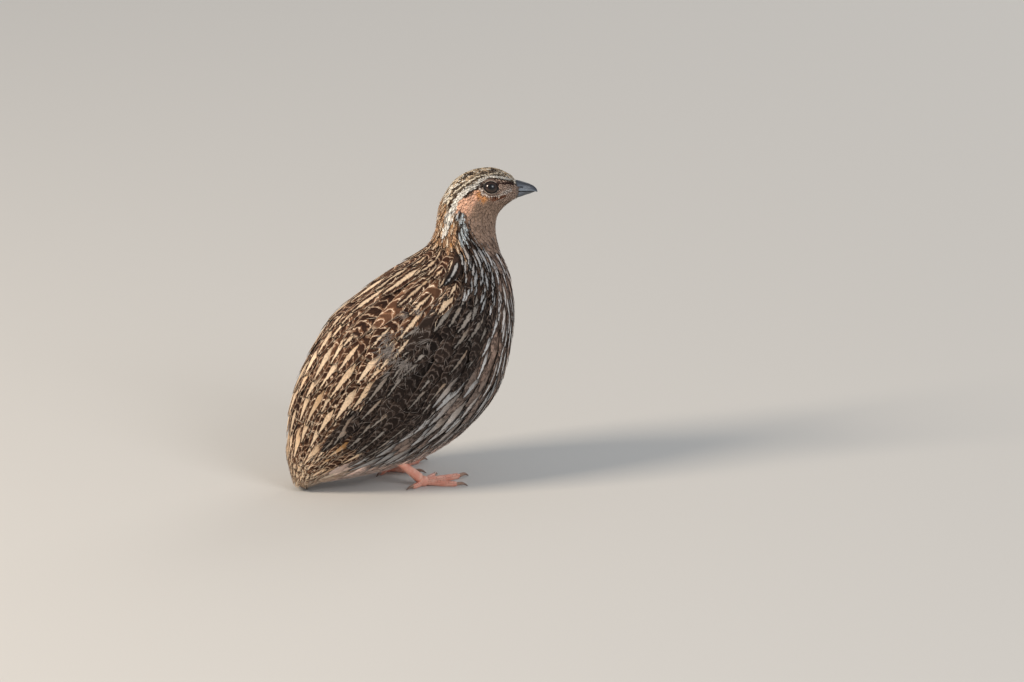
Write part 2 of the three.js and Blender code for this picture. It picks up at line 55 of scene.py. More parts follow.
# Sections of the body, the same as the part's and one more in the bill: back point, belly point, and the
# half width as a share of the body's.
BODY_WIDTH = 58
HEAD_TURN = math.radians(-18)
TURN_AXIS_X = 28.4
TURN_FROM_Z = 101
TURN_TO_Z = 124
SAG = 0.1  # how far the widest line lies below the middle, as a share of the half height
SAG_ENDS = (9, 12)
SECTIONS = {
    "rump tip": ((-49.5, 7.5), (-49.1, 6.5), 0.03),
    "rump": ((-55.1, 15.0), (-40.0, 3.6), 0.36),
    "vent": ((-56.4, 23.6), (-26.5, 4.4), 0.55),
    "thighs": ((-55.8, 34.8), (-9.5, 6.8), 0.75),
    "loin": ((-52.2, 48.4), (5.1, 10.0), 0.91),
    "belly": ((-44.9, 63.1), (20.1, 16.6), 1.0),
    "flank": ((-34.7, 78.4), (33.2, 26.4), 1.02),
    "keel": ((-20.6, 89.1), (43.2, 38.2), 0.97),
    "shoulder": ((-5.6, 98.4), (48.8, 54.5), 0.87),
    "breast": ((5.6, 104.0), (51.4, 73.0), 0.73),
    "crop": ((11.6, 108.3), (49.6, 90.7), 0.59),
    "neck base": ((14.2, 112.9), (45.2, 103.0), 0.495),
    "neck": ((15.8, 119.1), (43.4, 110.8), 0.43),
    "nape": ((17.6, 125.4), (43.4, 116.4), 0.385),
    "throat": ((20.3, 130.8), (44.4, 120.0), 0.365),
    "hind crown": ((24.8, 136.6), (45.9, 122.3), 0.365),
    "ear": ((32.0, 140.6), (47.7, 124.1), 0.365),
    "eye": ((40.6, 141.8), (49.6, 125.5), 0.335),
    "brow": ((46.2, 140.5), (50.9, 126.3), 0.26),
    "face": ((49.8, 138.2), (52.0, 126.7), 0.18),
    "bill root": ((51.8, 135.8), (52.7, 127.1), 0.12),
    "bill base": ((53.8, 134.8), (53.9, 128.1), 0.105),
}
LAST = len(SECTIONS) - 1
PER_SECTION = 100  # samples of the section curves


def catmull(points, per=PER_SECTION):
    """A centripetal Catmull-Rom curve through points, one unit of its parameter for each of them."""
    p = np.array(points, float)
    count = len(p)
    t = np.linspace(0, count - 1, (count - 1) * per + 1)
    i = np.minimum(t.astype(int), count - 2)
    w = (t - i)[:, None]
    ends = np.vstack([2 * p[0] - p[1], p, 2 * p[-1] - p[-2]])
    a, b, c, d = ends[i], ends[i + 1], ends[i + 2], ends[i + 3]

    def knot(u, v):
        return (np.maximum(((u - v) ** 2).sum(1), 1e-12) ** 0.25)[:, None]

    before, here, after = knot(a, b), knot(b, c), knot(c, d)
    one = ((b - a) / before - (c - a) / (before + here) + (c - b) / here) * here
    two = ((c - b) / here - (d - b) / (here + after) + (d - c) / after) * here
    made = b + one * w + (3 * (c - b) - 2 * one - two) * w**2 + (2 * (b - c) + one + two) * w**3
    return t, made


STATION, BACK = catmull([s[0] for s in SECTIONS.values()])
_, BELLY = catmull([s[1] for s in SECTIONS.values()])
_, WIDE = catmull([(i, s[2] * BODY_WIDTH / 2) for i, s in enumerate(SECTIONS.values())])


def smooth(x, low, high):
    t = np.clip((x - low) / (high - low), 0, 1)
    return t * t * (3 - 2 * t)


def degrees_round(r):
    return np.degrees(np.abs(r))


def straight(a, r):
    """A point of the plumage's outline before the head is turned."""
    bx, bz = np.interp(a, STATION, BACK[:, 0]), np.interp(a, STATION, BACK[:, 1])
    ux, uz = np.interp(a, STATION, BELLY[:, 0]), np.interp(a, STATION, BELLY[:, 1])
    up = np.cos(r) - SAG * (1 - smooth(a, *SAG_ENDS)) * np.sin(r) ** 2
    x = (bx + ux) / 2 + (bx - ux) / 2 * up
    z = (bz + uz) / 2 + (bz - uz) / 2 * up
    return np.stack([x, np.interp(a, STATION, WIDE[:, 1]) * np.sin(r), z], -1)


def sloped(form, a, r, step):
    """Outward normals of a form, and the lengths on it of one section and of one radian."""
    headward = form(a + step, r) - form(a - step, r)
    leftward = form(a, r + step) - form(a, r - step)
    normal = np.cross(headward, leftward)
    normal /= np.maximum(np.linalg.norm(normal, axis=-1, keepdims=True), 1e-9)
    return normal, *(np.linalg.norm(way, axis=-1) / (2 * step) for way in (headward, leftward))


def surface(a, r):
    """Points, outward normals, and the length of one section and of one radian there."""
    return straight(a, r), *sloped(straight, a, r, 0.02)


def turned(p):
    angle = HEAD_TURN * smooth(p[..., 2], TURN_FROM_Z, TURN_TO_Z)
    cos, sin = np.cos(angle), np.sin(angle)
    x, y = p[..., 0] - TURN_AXIS_X, p[..., 1]
    return np.stack([TURN_AXIS_X + x * cos - y * sin, x * sin + y * cos, p[..., 2]], -1)


_trunk = np.linspace(2, 11, 400)
_belly_x = straight(_trunk, np.full_like(_trunk, math.pi))[:, 0]
SHIFT_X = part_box("torso")[1].x / MM - _belly_x.max()  # from the sections' origin to the row's


def in_row(p, head=True):
    """From millimetres before the turn to metres in the row frame."""
    return ((turned(p) if head else p) + np.array([SHIFT_X, 0, 0])) * MM


# The photograph's view, by which marks on the head are placed
AZIMUTH, ELEVATION = math.radians(-22), math.radians(16)
PIXEL = 0.45  # millimetres
PICTURE = (1024, 682)
ORIGIN_PX = (404.5, 477.5)  # where the part's first origin lies in the picture
SIDEWAYS = np.array([math.cos(AZIMUTH), math.sin(AZIMUTH), 0])
_level = np.array([math.sin(AZIMUTH), -math.cos(AZIMUTH), 0])
TOWARD = _level * math.cos(ELEVATION) + np.array([0, 0, math.sin(ELEVATION)])
UPWARD = np.cross(TOWARD, SIDEWAYS)
_a, _r = np.meshgrid(np.arange(0.05, LAST, 0.05), np.radians(np.arange(-180, 0.1, 1.5)), indexing="ij")
_p, _n, _, _ = surface(_a, _r)
_seen = ((turned(_p + _n) - turned(_p)) @ TOWARD) > 0.02
_u = ORIGIN_PX[0] + turned(_p) @ SIDEWAYS / PIXEL
_v = ORIGIN_PX[1] - turned(_p) @ UPWARD / PIXEL


def lifted(u, v):
    """The section and the degrees round from the back where a pixel of the picture meets the right side."""
    far = (_u - u) ** 2 + (_v - v) ** 2 + 1e6 * ~_seen
    k = np.unravel_index(far.argmin(), far.shape)
    return _a[k], -math.degrees(_r[k])


def line_of(pixels):
    """A line drawn over the picture as points of the right side, densely and before the turn."""
    t, fine = catmull([lifted(u, v) for u, v in pixels], 12)
    return straight(fine[:, 0], -np.radians(fine[:, 1])), t / t[-1]


def from_line(points, name):
    """How far points lie from one of LINES or from its mirror image, and how far along it."""
    on_right = points * np.array([1, 0, 1]) - np.abs(points) * np.array([0, 1, 0])
    path, share = LINES[name]
    far = np.linalg.norm(on_right[:, None, :] - path[None], axis=-1)
    k = far.argmin(1)
    return far[np.arange(len(k)), k], share[k]


def rgb(r, g, b):
    """A colour as seen, from 0 to 255, to the linear one that materials use."""
    c = np.array([r, g, b]) / 255
    return np.where(c <= 0.04045, c / 12.92, ((c + 0.055) / 1.055) ** 2.4)


CREAM = rgb(232, 205, 174)
WHITE_BUFF = rgb(232, 222, 208)
ORANGE = rgb(214, 158, 98)

# Kinds of feather on the body. web, dark, bar and line colour the vane, its blotches and borders, its bars
# and fringe, and its shaft streak. streak is half that streak's width and edge the width of its dark border,
# both in millimetres; it begins at starts along the feather, and a share called lined has one. bars counts
# the pale bars along a feather. barred, fringe, mottle and warm say how strongly bars, pale margins, blotches
# and an orange tint of the streak show.
SCALY = dict(bars=2.0, barred=0.1, fringe=0.35, mottle=0.8, warm=0.1)
PLAIN = dict(line=WHITE_BUFF, streak=0, edge=0, starts=0, lined=0, bars=1, barred=0, warm=0)
KINDS = {
    "back": dict(
        web=rgb(134, 96, 71), dark=rgb(48, 26, 16), bar=rgb(242, 220, 192), line=CREAM, streak=1.5, edge=0.5,
        starts=0.48, lined=0.92, bars=7.4, barred=0.95, fringe=0.42, mottle=1.0, warm=0.35,
    ),
    # The wing's web, bars and streak are darker and greyer than its own colours: painted shade of a side
    # turned from the light.
    "wing": dict(
        web=rgb(70, 56, 48), dark=rgb(22, 13, 9), bar=rgb(122, 113, 107), line=rgb(156, 147, 138), streak=1.0,
        edge=0.45, starts=0.46, lined=0.7, bars=7.0, barred=0.7, fringe=0.15, mottle=0.9, warm=0.2,
    ),
    "nape": dict(
        web=rgb(200, 158, 122), dark=rgb(112, 80, 58), bar=rgb(234, 206, 172), line=rgb(248, 230, 204),
        streak=0.55, edge=0.25, starts=0.2, lined=0.5, bars=2.5, barred=0.5, fringe=0.5, mottle=0.9, warm=0.6,
    ),
    "side": SCALY | dict(
        web=rgb(68, 50, 41), dark=rgb(16, 11, 9), bar=rgb(126, 104, 88), line=rgb(190, 188, 186), streak=0.85,
        edge=0.5, starts=0.32, lined=0.8, barred=0.15,
    ),
    "breast": SCALY | dict(
        web=rgb(160, 134, 119), dark=rgb(68, 52, 45), bar=rgb(180, 158, 141), line=rgb(224, 221, 218),
        streak=1.0, edge=0.6, starts=0.3, lined=0.78,
    ),
    # The flank's web and streak are greyer and darker than their own colours: painted shade of a side turned
    # from the light.
    "flank": SCALY | dict(
        web=rgb(140, 122, 111), dark=rgb(62, 49, 43), bar=rgb(168, 154, 144), line=rgb(182, 180, 178),
        streak=2.0, edge=0.6, starts=0.12, lined=0.72, warm=0.12,
    ),
    "belly": PLAIN | dict(
        web=rgb(240, 212, 198), dark=rgb(206, 178, 163), bar=rgb(246, 230, 218), fringe=0.3, mottle=0.4
    ),
    "throat": PLAIN | dict(
        web=rgb(160, 134, 117), dark=rgb(150, 125, 109), bar=rgb(172, 148, 130), fringe=0.15, mottle=0.3
    ),
}
KIND_NAMES = list(KINDS)

# Marks of the head and neck, as pixels of the picture
THROAT_EDGE = [
    (511.5, 201.3), (503, 202), (495, 202), (488, 200), (478, 201), (466, 201), (459.5, 203),
    (458, 209), (464.8, 215), (470, 221), (473, 230), (479, 240), (487, 245),
]
MARKS = dict(
    brow=[
        (513, 180.5), (505.3, 178.4), (497.7, 177), (490, 177.4), (483.9, 179.5), (478.6, 183),
        (473.2, 186.8), (466.5, 191.2), (458.7, 198.3), (454, 207.4), (449.5, 216.6), (444.9, 227.3),
        (441.8, 237.3),
    ],
    crown=[
        (504, 174), (498.5, 173.4), (486.2, 174.5), (478.6, 176.1), (474, 178.7), (467.8, 183),
        (463.3, 185.2), (457.1, 190.6), (451, 196.7), (447.2, 202.8),
    ],
    eye=[(484, 185.2), (480, 186.5), (476, 189), (470.9, 192.9), (466.3, 194.4)],
    lores=[(498, 185.6), (502, 184.8), (506, 184.0), (514, 185.2)],
    cheek=[(481, 189.5), (484.5, 193.8), (490, 195.6), (498, 195.6), (505, 194), (512, 190.5)],
    malar=[(492, 198.8), (499, 199.2), (506, 197.6)],
    pale_lores=[(499, 190.5), (505, 190), (511, 188.5)],
    neck_patch=[(461, 217), (463, 225), (464, 234), (463, 242)],
    cheek_spot=[(480.5, 194.5), (485, 199.5)],
)
LINES = {name: line_of(pixels) for name, pixels in MARKS.items()}
# Strokes on the face: colour, and how far from the line each is full and ends
STROKES = dict(
    eye=(rgb(58, 44, 36), 0.75, 1.25),
    pale_lores=(rgb(198, 170, 152), 0.9, 1.5),
    cheek=(rgb(226, 208, 194), 0.6, 1.15),
    malar=(rgb(128, 84, 62), 0.5, 1.0),
    lores=(rgb(70, 42, 34), 0.45, 0.9),
)
# Tables give values at sections, or along a line.
CROWN_EDGE = ([13.5, 14.05, 14.65, 15.45, 16.2, 16.6, 17.5, 18.5, 20], [33, 34, 38, 40, 34, 34, 32, 36, 50])
BROW_HALF = ([0, 0.25, 0.5, 0.62, 0.85, 1.0], [0.42, 0.68, 0.9, 1.05, 1.6, 0.9])
BROW_FRAY = ([0, 0.5, 1], [0.3, 0.8, 1.3])
HEAD_ROUND = 9.5  # the head's mean radius, across
STREAK_PITCH = 1.15  # between the crown's streaks
MARKS_FROM = 10.2  # below this section the body's kinds rule alone
HEAD_FROM = 14.2
NOWHERE = 400  # degrees that no place reaches

throat_marks = np.array(sorted(lifted(u, v) for u, v in THROAT_EDGE))


def throat_bound(a):
    """How far round from the back the plain throat begins, in degrees."""
    bound = np.interp(a, throat_marks[:, 0], throat_marks[:, 1])
    return np.where(a < throat_marks[0, 0], NOWHERE, bound)


def kind_of(a, r, jitter):
    """Which kind of body feather grows at a place. jitter, from -1 to 1, frays the borders."""
    deg = degrees_round(r) + 4 * jitter
    at = a + 0.15 * jitter
    kind = np.full(a.shape, KIND_NAMES.index("belly"))

    def put(name, where):
        kind[where] = KIND_NAMES.index(name)

    low = np.interp(at + 0.5 * jitter, [2.0, 5.2, 6.6], [112, 148, 190])
    put("flank", (deg < low) & (at > 2.6) & (at < 7.6))
    put("breast", (at + 0.3 * jitter >= 7.0) & (at < 12.2))
    put("back", (deg < 66) & (at < 10.4))
    put("back", (deg < 100 - 4 * at) & (at <= 3.4))
    put("wing", (deg >= 62) & (deg < 101) & (at > 3.0) & (at < 8.7))
    put("side", (deg > 54) & (deg < 104) & (at >= 8.9) & (at < 11.2))
    put("nape", (deg <= 66) & (at >= 10.0))
    put("side", (deg > 66) & (at >= 11.2))
    front = 11.35 + 0.55 * smooth(deg, 125, 180)
    put("throat", (deg > throat_bound(at)) & (at + 0.3 * jitter > front))
    return kind


def head_colour(points, a, r):
    """Web colour on the head and neck by its marks, and how strongly it rules over the body's kinds."""
    deg = degrees_round(r)
    colour = np.tile(rgb(192, 150, 116), (len(a), 1))
    speckle = rng.random(len(a))

    def lay(tone, share):
        """Tone over the colour so far, as strongly as share says; share is from 0 to 1, or a test."""
        nonlocal colour
        s = np.clip(share * 1.0, 0, 1)[:, None]
        colour = colour * (1 - s) + tone * s

    # Streaks a millimetre wide run along the crown and the nape.
    column = np.floor(r * HEAD_ROUND / STREAK_PITCH + 0.5)
    cell = column * 57.0 + np.floor(a * 1.25 + column * 0.618)
    chance = np.modf(np.abs(np.sin(cell * 12.9898)) * 437.585)[0]
    chance = np.where(rng.random(len(a)) < 0.75, chance, speckle)
    # The crown's pale streaks, the palest near white, are their own pale colour brightened with painted
    # highlight where light catches the crown.
    crown = np.where(chance[:, None] > 0.36, rgb(236, 208, 174), rgb(52, 37, 30))
    crown = np.where(chance[:, None] > 0.62, rgb(255, 246, 230), crown)
    on_top = deg < np.interp(a, *CROWN_EDGE)
    nape = smooth(a, HEAD_FROM, 13.2)
    lay(crown, on_top)
    lay(rgb(62, 45, 36), ~on_top & (deg < 62))
    lay(rgb(122, 84, 60), nape * (chance > 0.66))
    lay(rgb(244, 222, 190), nape * (chance < 0.34) * 0.85)
    lay(rgb(222, 196, 156), (np.abs(points[:, 1]) < 0.55) * (a > HEAD_FROM) * 0.8)
    far, _ = from_line(points, "crown")
    lay(rgb(60, 44, 36), (1 - smooth(np.abs(far - 0.95), 0.25, 0.5)) * (speckle < 0.75) * 0.8)
    lay(rgb(246, 232, 208), 1 - smooth(far + 0.25 * (speckle - 0.5), 0.35, 0.6))
    # The face, the plain cheek and throat, and the orange spot under the eye
    lay(rgb(200, 170, 150), (deg >= 60) & (a > 14.6))
    lay(rgb(248, 196, 166), ((deg > 60) & (a > 13.2) & (a < 15.6) & (deg < 92)) * 0.95)
    lay(rgb(158, 132, 114), ((deg > throat_bound(a)) & (a > 11.3)) * smooth(deg, 80, 96) * 0.95)
    far, _ = from_line(points, "cheek_spot")
    lay(rgb(228, 160, 100), (1 - smooth(far + 0.5 * (speckle - 0.5), 0.6, 2.5)) * 0.9)
    for name, (tone, full, end) in STROKES.items():
        far, _ = from_line(points, name)
        lay(tone, 1 - smooth(far, full, end))
    brow, along = from_line(points, "brow")
    half = np.interp(along, *BROW_HALF)
    frayed = brow + 0.5 * (speckle - 0.5) * np.interp(along, *BROW_FRAY)
    grey = smooth(along, 0.3, 0.42) * (1 - smooth(along, 0.5, 0.62)) * (speckle > 0.4)
    lay(rgb(255, 250, 240) * (1 - 0.3 * grey[:, None]), 1 - smooth(frayed, half, half + 0.4))
    far, _ = from_line(points, "neck_patch")
    patch = 1 - smooth(far + 0.6 * (speckle - 0.5), 1.5, 2.1)
    lay(np.where(speckle[:, None] > 0.34, rgb(214, 222, 224), rgb(74, 62, 56)), patch)
    # Towards the bill
    lay(rgb(134, 118, 110), smooth(a, 19.9, 20.8) * 0.8)
    lay(rgb(140, 138, 126), smooth(a, 19.2, 20.2) * smooth(deg, 118, 132) * 0.7)
    return colour, np.maximum(smooth(a, 12.6, 13.6), np.maximum(patch, 1 - smooth(brow, 1.6, 2.2)))


def wing_swell(a, r):
    """How far the folded wings swell the body's sides."""
    deg = degrees_round(r)
    along = smooth(a, 2.4, 4.4) * (1 - smooth(a, 8.0, 9.3))
    return 2.1 * along * smooth(deg, 24, 50) * (1 - smooth(deg, 90, 101))


def settled(a, r):
    """How far the coat lies below the solids' outline along the back and over the crown."""
    deg = degrees_round(r)
    back = 1.5 * smooth(a, 0.8, 2.4) * (1 - smooth(a, 11.0, 13.0)) * (1 - smooth(deg, 30, 70))
    crown = 0.6 * smooth(a, 11.0, 13.0) * (1 - smooth(a, 18.2, 19.6)) * (1 - smooth(deg, 36, 62))
    return back + crown


COAT_DEPTH = ([0, 1, 3, 10, 13, 15, 20], [0.5, 1.4, 2.0, 1.8, 1.2, 0.75, 0.5])


def above(a, r, height):
    point, normal, _, _ = surface(a, r)
    return point + normal * (height + wing_swell(a, r) - settled(a, r))[..., None]


def three(values):
    return np.stack([values, 0 * values, 0 * values], -1)


def made_mesh(name, places, quads, attributes, uv=None, triangles=None):
    """A closed mesh that faces outwards. Its attributes are vectors; they and its uv are given on points."""
    faces = [np.asarray(f, np.int32) for f in (quads, triangles) if f is not None]
    volume = 0.0
    for corners in (np.asarray(places, float)[f] for f in faces):
        for i in range(1, corners.shape[1] - 1):
            volume += (np.cross(corners[:, i], corners[:, i + 1]) * corners[:, 0]).sum()
    if volume < 0:
        faces = [f[:, ::-1] for f in faces]
    loops = np.concatenate([f.ravel() for f in faces])
    sides = np.concatenate([np.full(len(f), f.shape[1]) for f in faces])
    mesh = bpy.data.meshes.new(name)
    mesh.vertices.add(len(places))
    mesh.vertices.foreach_set("co", np.asarray(places, np.float32).ravel())
    mesh.loops.add(len(loops))
    mesh.loops.foreach_set("vertex_index", loops)
    mesh.polygons.add(len(sides))
    mesh.polygons.foreach_set("loop_start", (np.cumsum(sides) - sides).astype(np.int32))
    mesh.polygons.foreach_set("use_smooth", np.ones(len(sides), bool))
    for key, values in attributes.items():
        data = mesh.attributes.new(key, "FLOAT_VECTOR", "POINT").data
        data.foreach_set("vector", np.asarray(values, np.float32).ravel())
    mesh.update(calc_edges=True)
    if uv is not None:
        layer = mesh.uv_layers.new(name="OFBake")
        layer.data.foreach_set("uv", np.asarray(uv, np.float32)[loops].ravel())
    mesh.validate()
    made = bpy.data.objects.new(name, mesh)
    bpy.context.scene.collection.objects.link(made)
    return made


def grid_faces(rows, columns, wrap=False):
    """Quads of a grid of points, rows by columns; wrap joins its last column to its first."""
    i, j = np.meshgrid(np.arange(rows - 1), np.arange(columns if wrap else columns - 1), indexing="ij")
    k = (j + 1) % columns
    corners = [i * columns + j, i * columns + k, (i + 1) * columns + k, (i + 1) * columns + j]
    return np.stack(corners, -1).reshape(-1, 4)


def closed_tube(name, rings, attributes):
    """A closed mesh from rings of points, each end drawn to its middle."""
    count, around = rings.shape[:2]
    j = np.arange(around)
    k = (j + 1) % around
    end, middle = (count - 1) * around, np.full(around, count * around)
    caps = np.concatenate([np.stack([middle, k, j], -1), np.stack([middle + 1, end + j, end + k], -1)])

    def with_ends(values):
        return np.concatenate([values.reshape(-1, 3), values[0].mean(0)[None], values[-1].mean(0)[None]])

    full = {key: with_ends(values) for key, values in attributes.items()}
    faces = grid_faces(count, around, wrap=True)
    return made_mesh(name, with_ends(rings), faces, full, triangles=caps)


def finished(made, material, slot, *replaced):
    made.data.materials.append(material)
    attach(made, "root")
    if replaced:
        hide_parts(*replaced)


def circle(count):
    return np.arange(count) / count * 2 * math.pi


class Signal:
    """A shader node's output. Arithmetic with it adds Math nodes."""

    def __init__(self, graph, socket):
        self.graph, self.socket = graph, socket

    def __add__(self, other):
        return self.graph.math("ADD", self, other)

    def __mul__(self, other):
        return self.graph.math("MULTIPLY", self, other)

    def __sub__(self, other):
        return self.graph.math("SUBTRACT", self, other)

    def __rsub__(self, other):
        return self.graph.math("SUBTRACT", other, self)


class Graph:
    """Short ways to add shader nodes to a new material with one Principled shader."""

    def __init__(self, name):
        self.material = bpy.data.materials.new(name)
        self.material.use_nodes = True
        self.tree = self.material.node_tree
        self.tree.nodes.clear()
        out = self.tree.nodes.new("ShaderNodeOutputMaterial")
        self.shader = self.tree.nodes.new("ShaderNodeBsdfPrincipled")
        self.tree.links.new(self.shader.outputs[0], out.inputs[0])

    def put(self, socket, value):
        if isinstance(value, Signal):
            self.tree.links.new(value.socket, socket)
        elif socket.type == "RGBA":
            socket.default_value = (*value, 1)
        else:
            socket.default_value = value

    def add(self, kind, inputs=(), output=0, **settings):
        """A node with its settings and inputs; the output of it that is used is given by name or number."""
        node = self.tree.nodes.new("ShaderNode" + kind)
        for key, value in settings.items():
            setattr(node, key, value)
        for key, value in dict(inputs).items():
            self.put(node.inputs[key], value)
        return Signal(self, node.outputs[output])

    def math(self, operation, *values, clamp=False):
        return self.add("Math", enumerate(values), operation=operation, use_clamp=clamp)

    def ramp(self, value, low, high, start=0.0, end=1.0):
        inputs = {"Value": value, "From Min": low, "From Max": high, "To Min": start, "To Max": end}
        return self.add("MapRange", inputs, interpolation_type="SMOOTHSTEP")

    def mix(self, share, a, b):
        return self.add("Mix", {0: share, 6: a, 7: b}, 2, data_type="RGBA")

    def scaled(self, colour, value):
        return self.add("VectorMath", {0: colour, "Scale": value}, operation="SCALE")

    def attribute(self, name):
        return self.add("Attribute", output="Vector", attribute_name=name)

    def parts(self, name):
        """The three numbers of an attribute."""
        node = self.tree.nodes.new("ShaderNodeSeparateXYZ")
        self.put(node.inputs[0], self.attribute(name))
        return [Signal(self, output) for output in node.outputs]

    def joined(self, x, y, z):
        return self.add("CombineXYZ", {0: x, 1: y, 2: z})

    def noise(self, vector, scale, detail):
        return self.add("TexNoise", {"Vector": vector, "Scale": scale, "Detail": detail}, "Fac")

    def grain(self, scale, detail):
        return self.noise(self.add("TexCoord", output="Object"), scale, detail)

    def bump(self, height, distance, strength):
        inputs = {"Strength": strength, "Distance": distance, "Height": height}
        self.put(self.shader.inputs["Normal"], self.add("Bump", inputs))

    def finish(self, colour, **sockets):
        self.put(self.shader.inputs["Base Color"], colour)
        for key, value in sockets.items():
            self.put(self.shader.inputs[key.replace("_", " ")], value)
        return self.material


def plumage():
    g = Graph("plumage")
    s, t, rand = g.parts("vane")
    along, across, warm = g.parts("span")
    streak, bars, barred = g.parts("mark")
    edge, fringe, mottle = g.parts("trim")
    web, dark, bar_colour, line = (g.attribute(name) for name in ("web", "dark", "bar", "line"))
    off, side = g.math("ABSOLUTE", across), g.math("ABSOLUTE", t)
    # Barbs run outwards and towards the tip. strand changes from one to the next and little along them, and
    # tuft with the groups that cling together, a millimetre or so wide.
    slant, lengthwise = along - off, along + off
    seed = rand * 60
    half_seed = g.math("GREATER_THAN", across, 0.0) * 5.3 + seed
    strand = g.noise(g.joined(slant * 3.2, lengthwise * 0.35, half_seed), 1.0, 3) - 0.5
    tuft = g.noise(g.joined(slant * 0.85, lengthwise * 0.14, half_seed), 1.0, 1) - 0.5
    cloud = g.noise(g.joined(across, along, seed), 0.5, 2) - 0.5
    # The pale streak narrows to a point at the tip and has a dark border.
    fall = g.math("POWER", g.math("MULTIPLY", 1.0 - s, 1.75, clamp=True), 0.85)
    half = streak * fall * g.ramp(s, 0.1, 0.45, 0.35, 1.0)
    has_streak = g.ramp(streak, 0.05, 0.15)
    far = off + cloud * 0.5 + tuft * 1.1 + strand * 1.2
    pale = has_streak * g.ramp(far, half - 0.22, half + 0.18, 1, 0)
    border = has_streak * g.ramp(far, edge * 0.5 + half, edge * 1.9 + half, 1, 0)
    # Thin pale bars bow towards the tip at the sides of the vane, and each stands above a dark blotch.
    phase = bars * s + cloud * 1.2 + rand * 3.0 - t * t * 0.7 + strand * 0.3
    phase = g.math("FRACT", phase + tuft * g.ramp(barred, 0.6, 0.85, 1.0, 0.25) + 50.0)
    bar = g.ramp(phase, 0.03, 0.09) * g.ramp(phase, 0.12, 0.2, 1, 0) * barred
    bar = bar * g.ramp(tuft * 0.8 + cloud, -0.2, 0.04, 0.15, 1.0)
    blotch = g.ramp(phase, 0.18, 0.3) * g.ramp(phase, 0.84, 1.0, 1, 0) * g.ramp(side, 0.7, 0.98, 1, 0.15)
    has_bars = g.ramp(barred, 0.2, 0.5)
    blotch = blotch * has_bars + g.ramp(cloud + strand * 0.5, -0.08, 0.1) * (1.0 - has_bars)
    blotch = blotch * g.ramp(strand + cloud * 0.6, -0.22, 0.12, 0.72, 1.0)
    margin = g.math("MAXIMUM", g.ramp(side + strand * 0.7, 0.78, 1.0), g.ramp(s, 0.93, 0.995))
    web = g.mix(blotch * mottle, web, dark)
    web = g.mix(bar, web, bar_colour)
    web = g.mix(margin * fringe, web, bar_colour)
    web = g.mix(border * 0.94, web, g.scaled(dark, 0.7))
    line = g.mix(warm * g.ramp(s + cloud * 0.6, 0.4, 0.95, 1, 0), line, ORANGE)
    web = g.mix(pale, web, g.scaled(line, strand * 0.7 + 1.0))
    barb = g.math("SINE", (strand * 0.4 + slant) * 15.0)
    # The downy part under the feathers ahead is darkened to two thirds: painted shade from the feathers that
    # overlap it.
    tone = (strand * 0.9 + tuft * 0.4 + rand * 0.3 + 0.85) * g.ramp(s, 0.25, 0.62, 0.66, 1.0)
    g.bump(barb * 0.35 + strand * 2.2, 0.00016, 0.6)
    colour = g.scaled(web, barb * 0.07 + tone)
    return g.finish(colour, Roughness=0.7, Sheen_Weight=0.04, Sheen_Roughness=0.4, Specular_IOR_Level=0.14)


PLUMAGE = plumage()
MAP_EDGE = 0.03  # the bare border of the bake map

# What feathers have where nothing else is said. length, half the width, the heights over the body called root
# and tip, arch, crown, tilt and thick are in millimetres, turn and bend in radians. rise bends the way from
# root to tip, arch lifts the middle of a feather, crown lowers its sides and tilt raises its left one. point
# goes from a round tip to a sharp one, and rag frays the rim. real is the true length where length is a
# share, and patch is the size on the bake map.
USUAL = dict(
    length=1, half=1, root=-0.8, tip=0.3, rise=1, arch=0, crown=0.3, tilt=0.1, thick=0.14, turn=0, bend=0,
    point=0.2, rag=0.05, real=1, patch=0.003, warm=0, streak=0, starts=0, bars=1, barred=0, edge=0, fringe=0,
    mottle=0.3,
)


def reader(where, per=1, shape=(-1,)):
    """A function that gives a property of all feathers, each value per times over."""
    n = len(where["a"])

    def get(key):
        value = np.asarray(where.get(key, USUAL.get(key)), float)
        return np.repeat(np.broadcast_to(value, (n,)), per).reshape(shape)

    return get


def on_map(share):
    return MAP_EDGE + (1 - 2 * MAP_EDGE) * share


def vane_template(rows, columns):
    """Places s along and t across one vane, whether each is underneath, and quads. Both faces share a rim."""
    s = (np.arange(rows + 1) / rows) ** 0.85
    s, t = np.meshgrid(s, np.linspace(-1, 1, columns + 1), indexing="ij")
    upper = np.arange(s.size).reshape(s.shape)
    lower = upper.copy()
    inner = (slice(1, -1), slice(1, -1))
    lower[inner] = s.size + np.arange(s[inner].size).reshape(s[inner].shape)
    face = grid_faces(rows + 1, columns + 1)
    join = lambda values: np.concatenate([values.ravel(), values[inner].ravel()])
    under = np.arange(s.size + s[inner].size) >= s.size
    return join(s), join(t), under, np.concatenate([upper.ravel()[face], lower.ravel()[face][:, ::-1]])


def vane_width(s, point):
    """A vane's share of its full width along it: round-ended where point is 0, pointed where it is 1."""
    base = 0.42 + 0.58 * smooth(s, 0.0, 0.42)
    blunt = np.sqrt(np.clip(1 - np.clip((s - 0.58) / 0.42, 0, 1) ** 2.2, 0, 1))
    sharp = 1 - np.clip((s - 0.3) / 0.7, 0, 1) ** 1.5
    return base * (blunt * (1 - point) + sharp * point) + 0.015


def vane_height(get, s, t):
    """How high a vane's top lies over the body, s along it and t across."""
    rising = get("root") + (get("tip") - get("root")) * s ** get("rise") + get("arch") * np.sin(np.pi * s)
    return rising - get("crown") * t**2 + get("tilt") * t


def spun(reach, across, angle):
    """How far back and how far left a point of a vane lies from its root."""
    cos, sin = np.cos(angle), np.sin(angle)
    return reach * cos - across * sin, reach * sin + across * cos


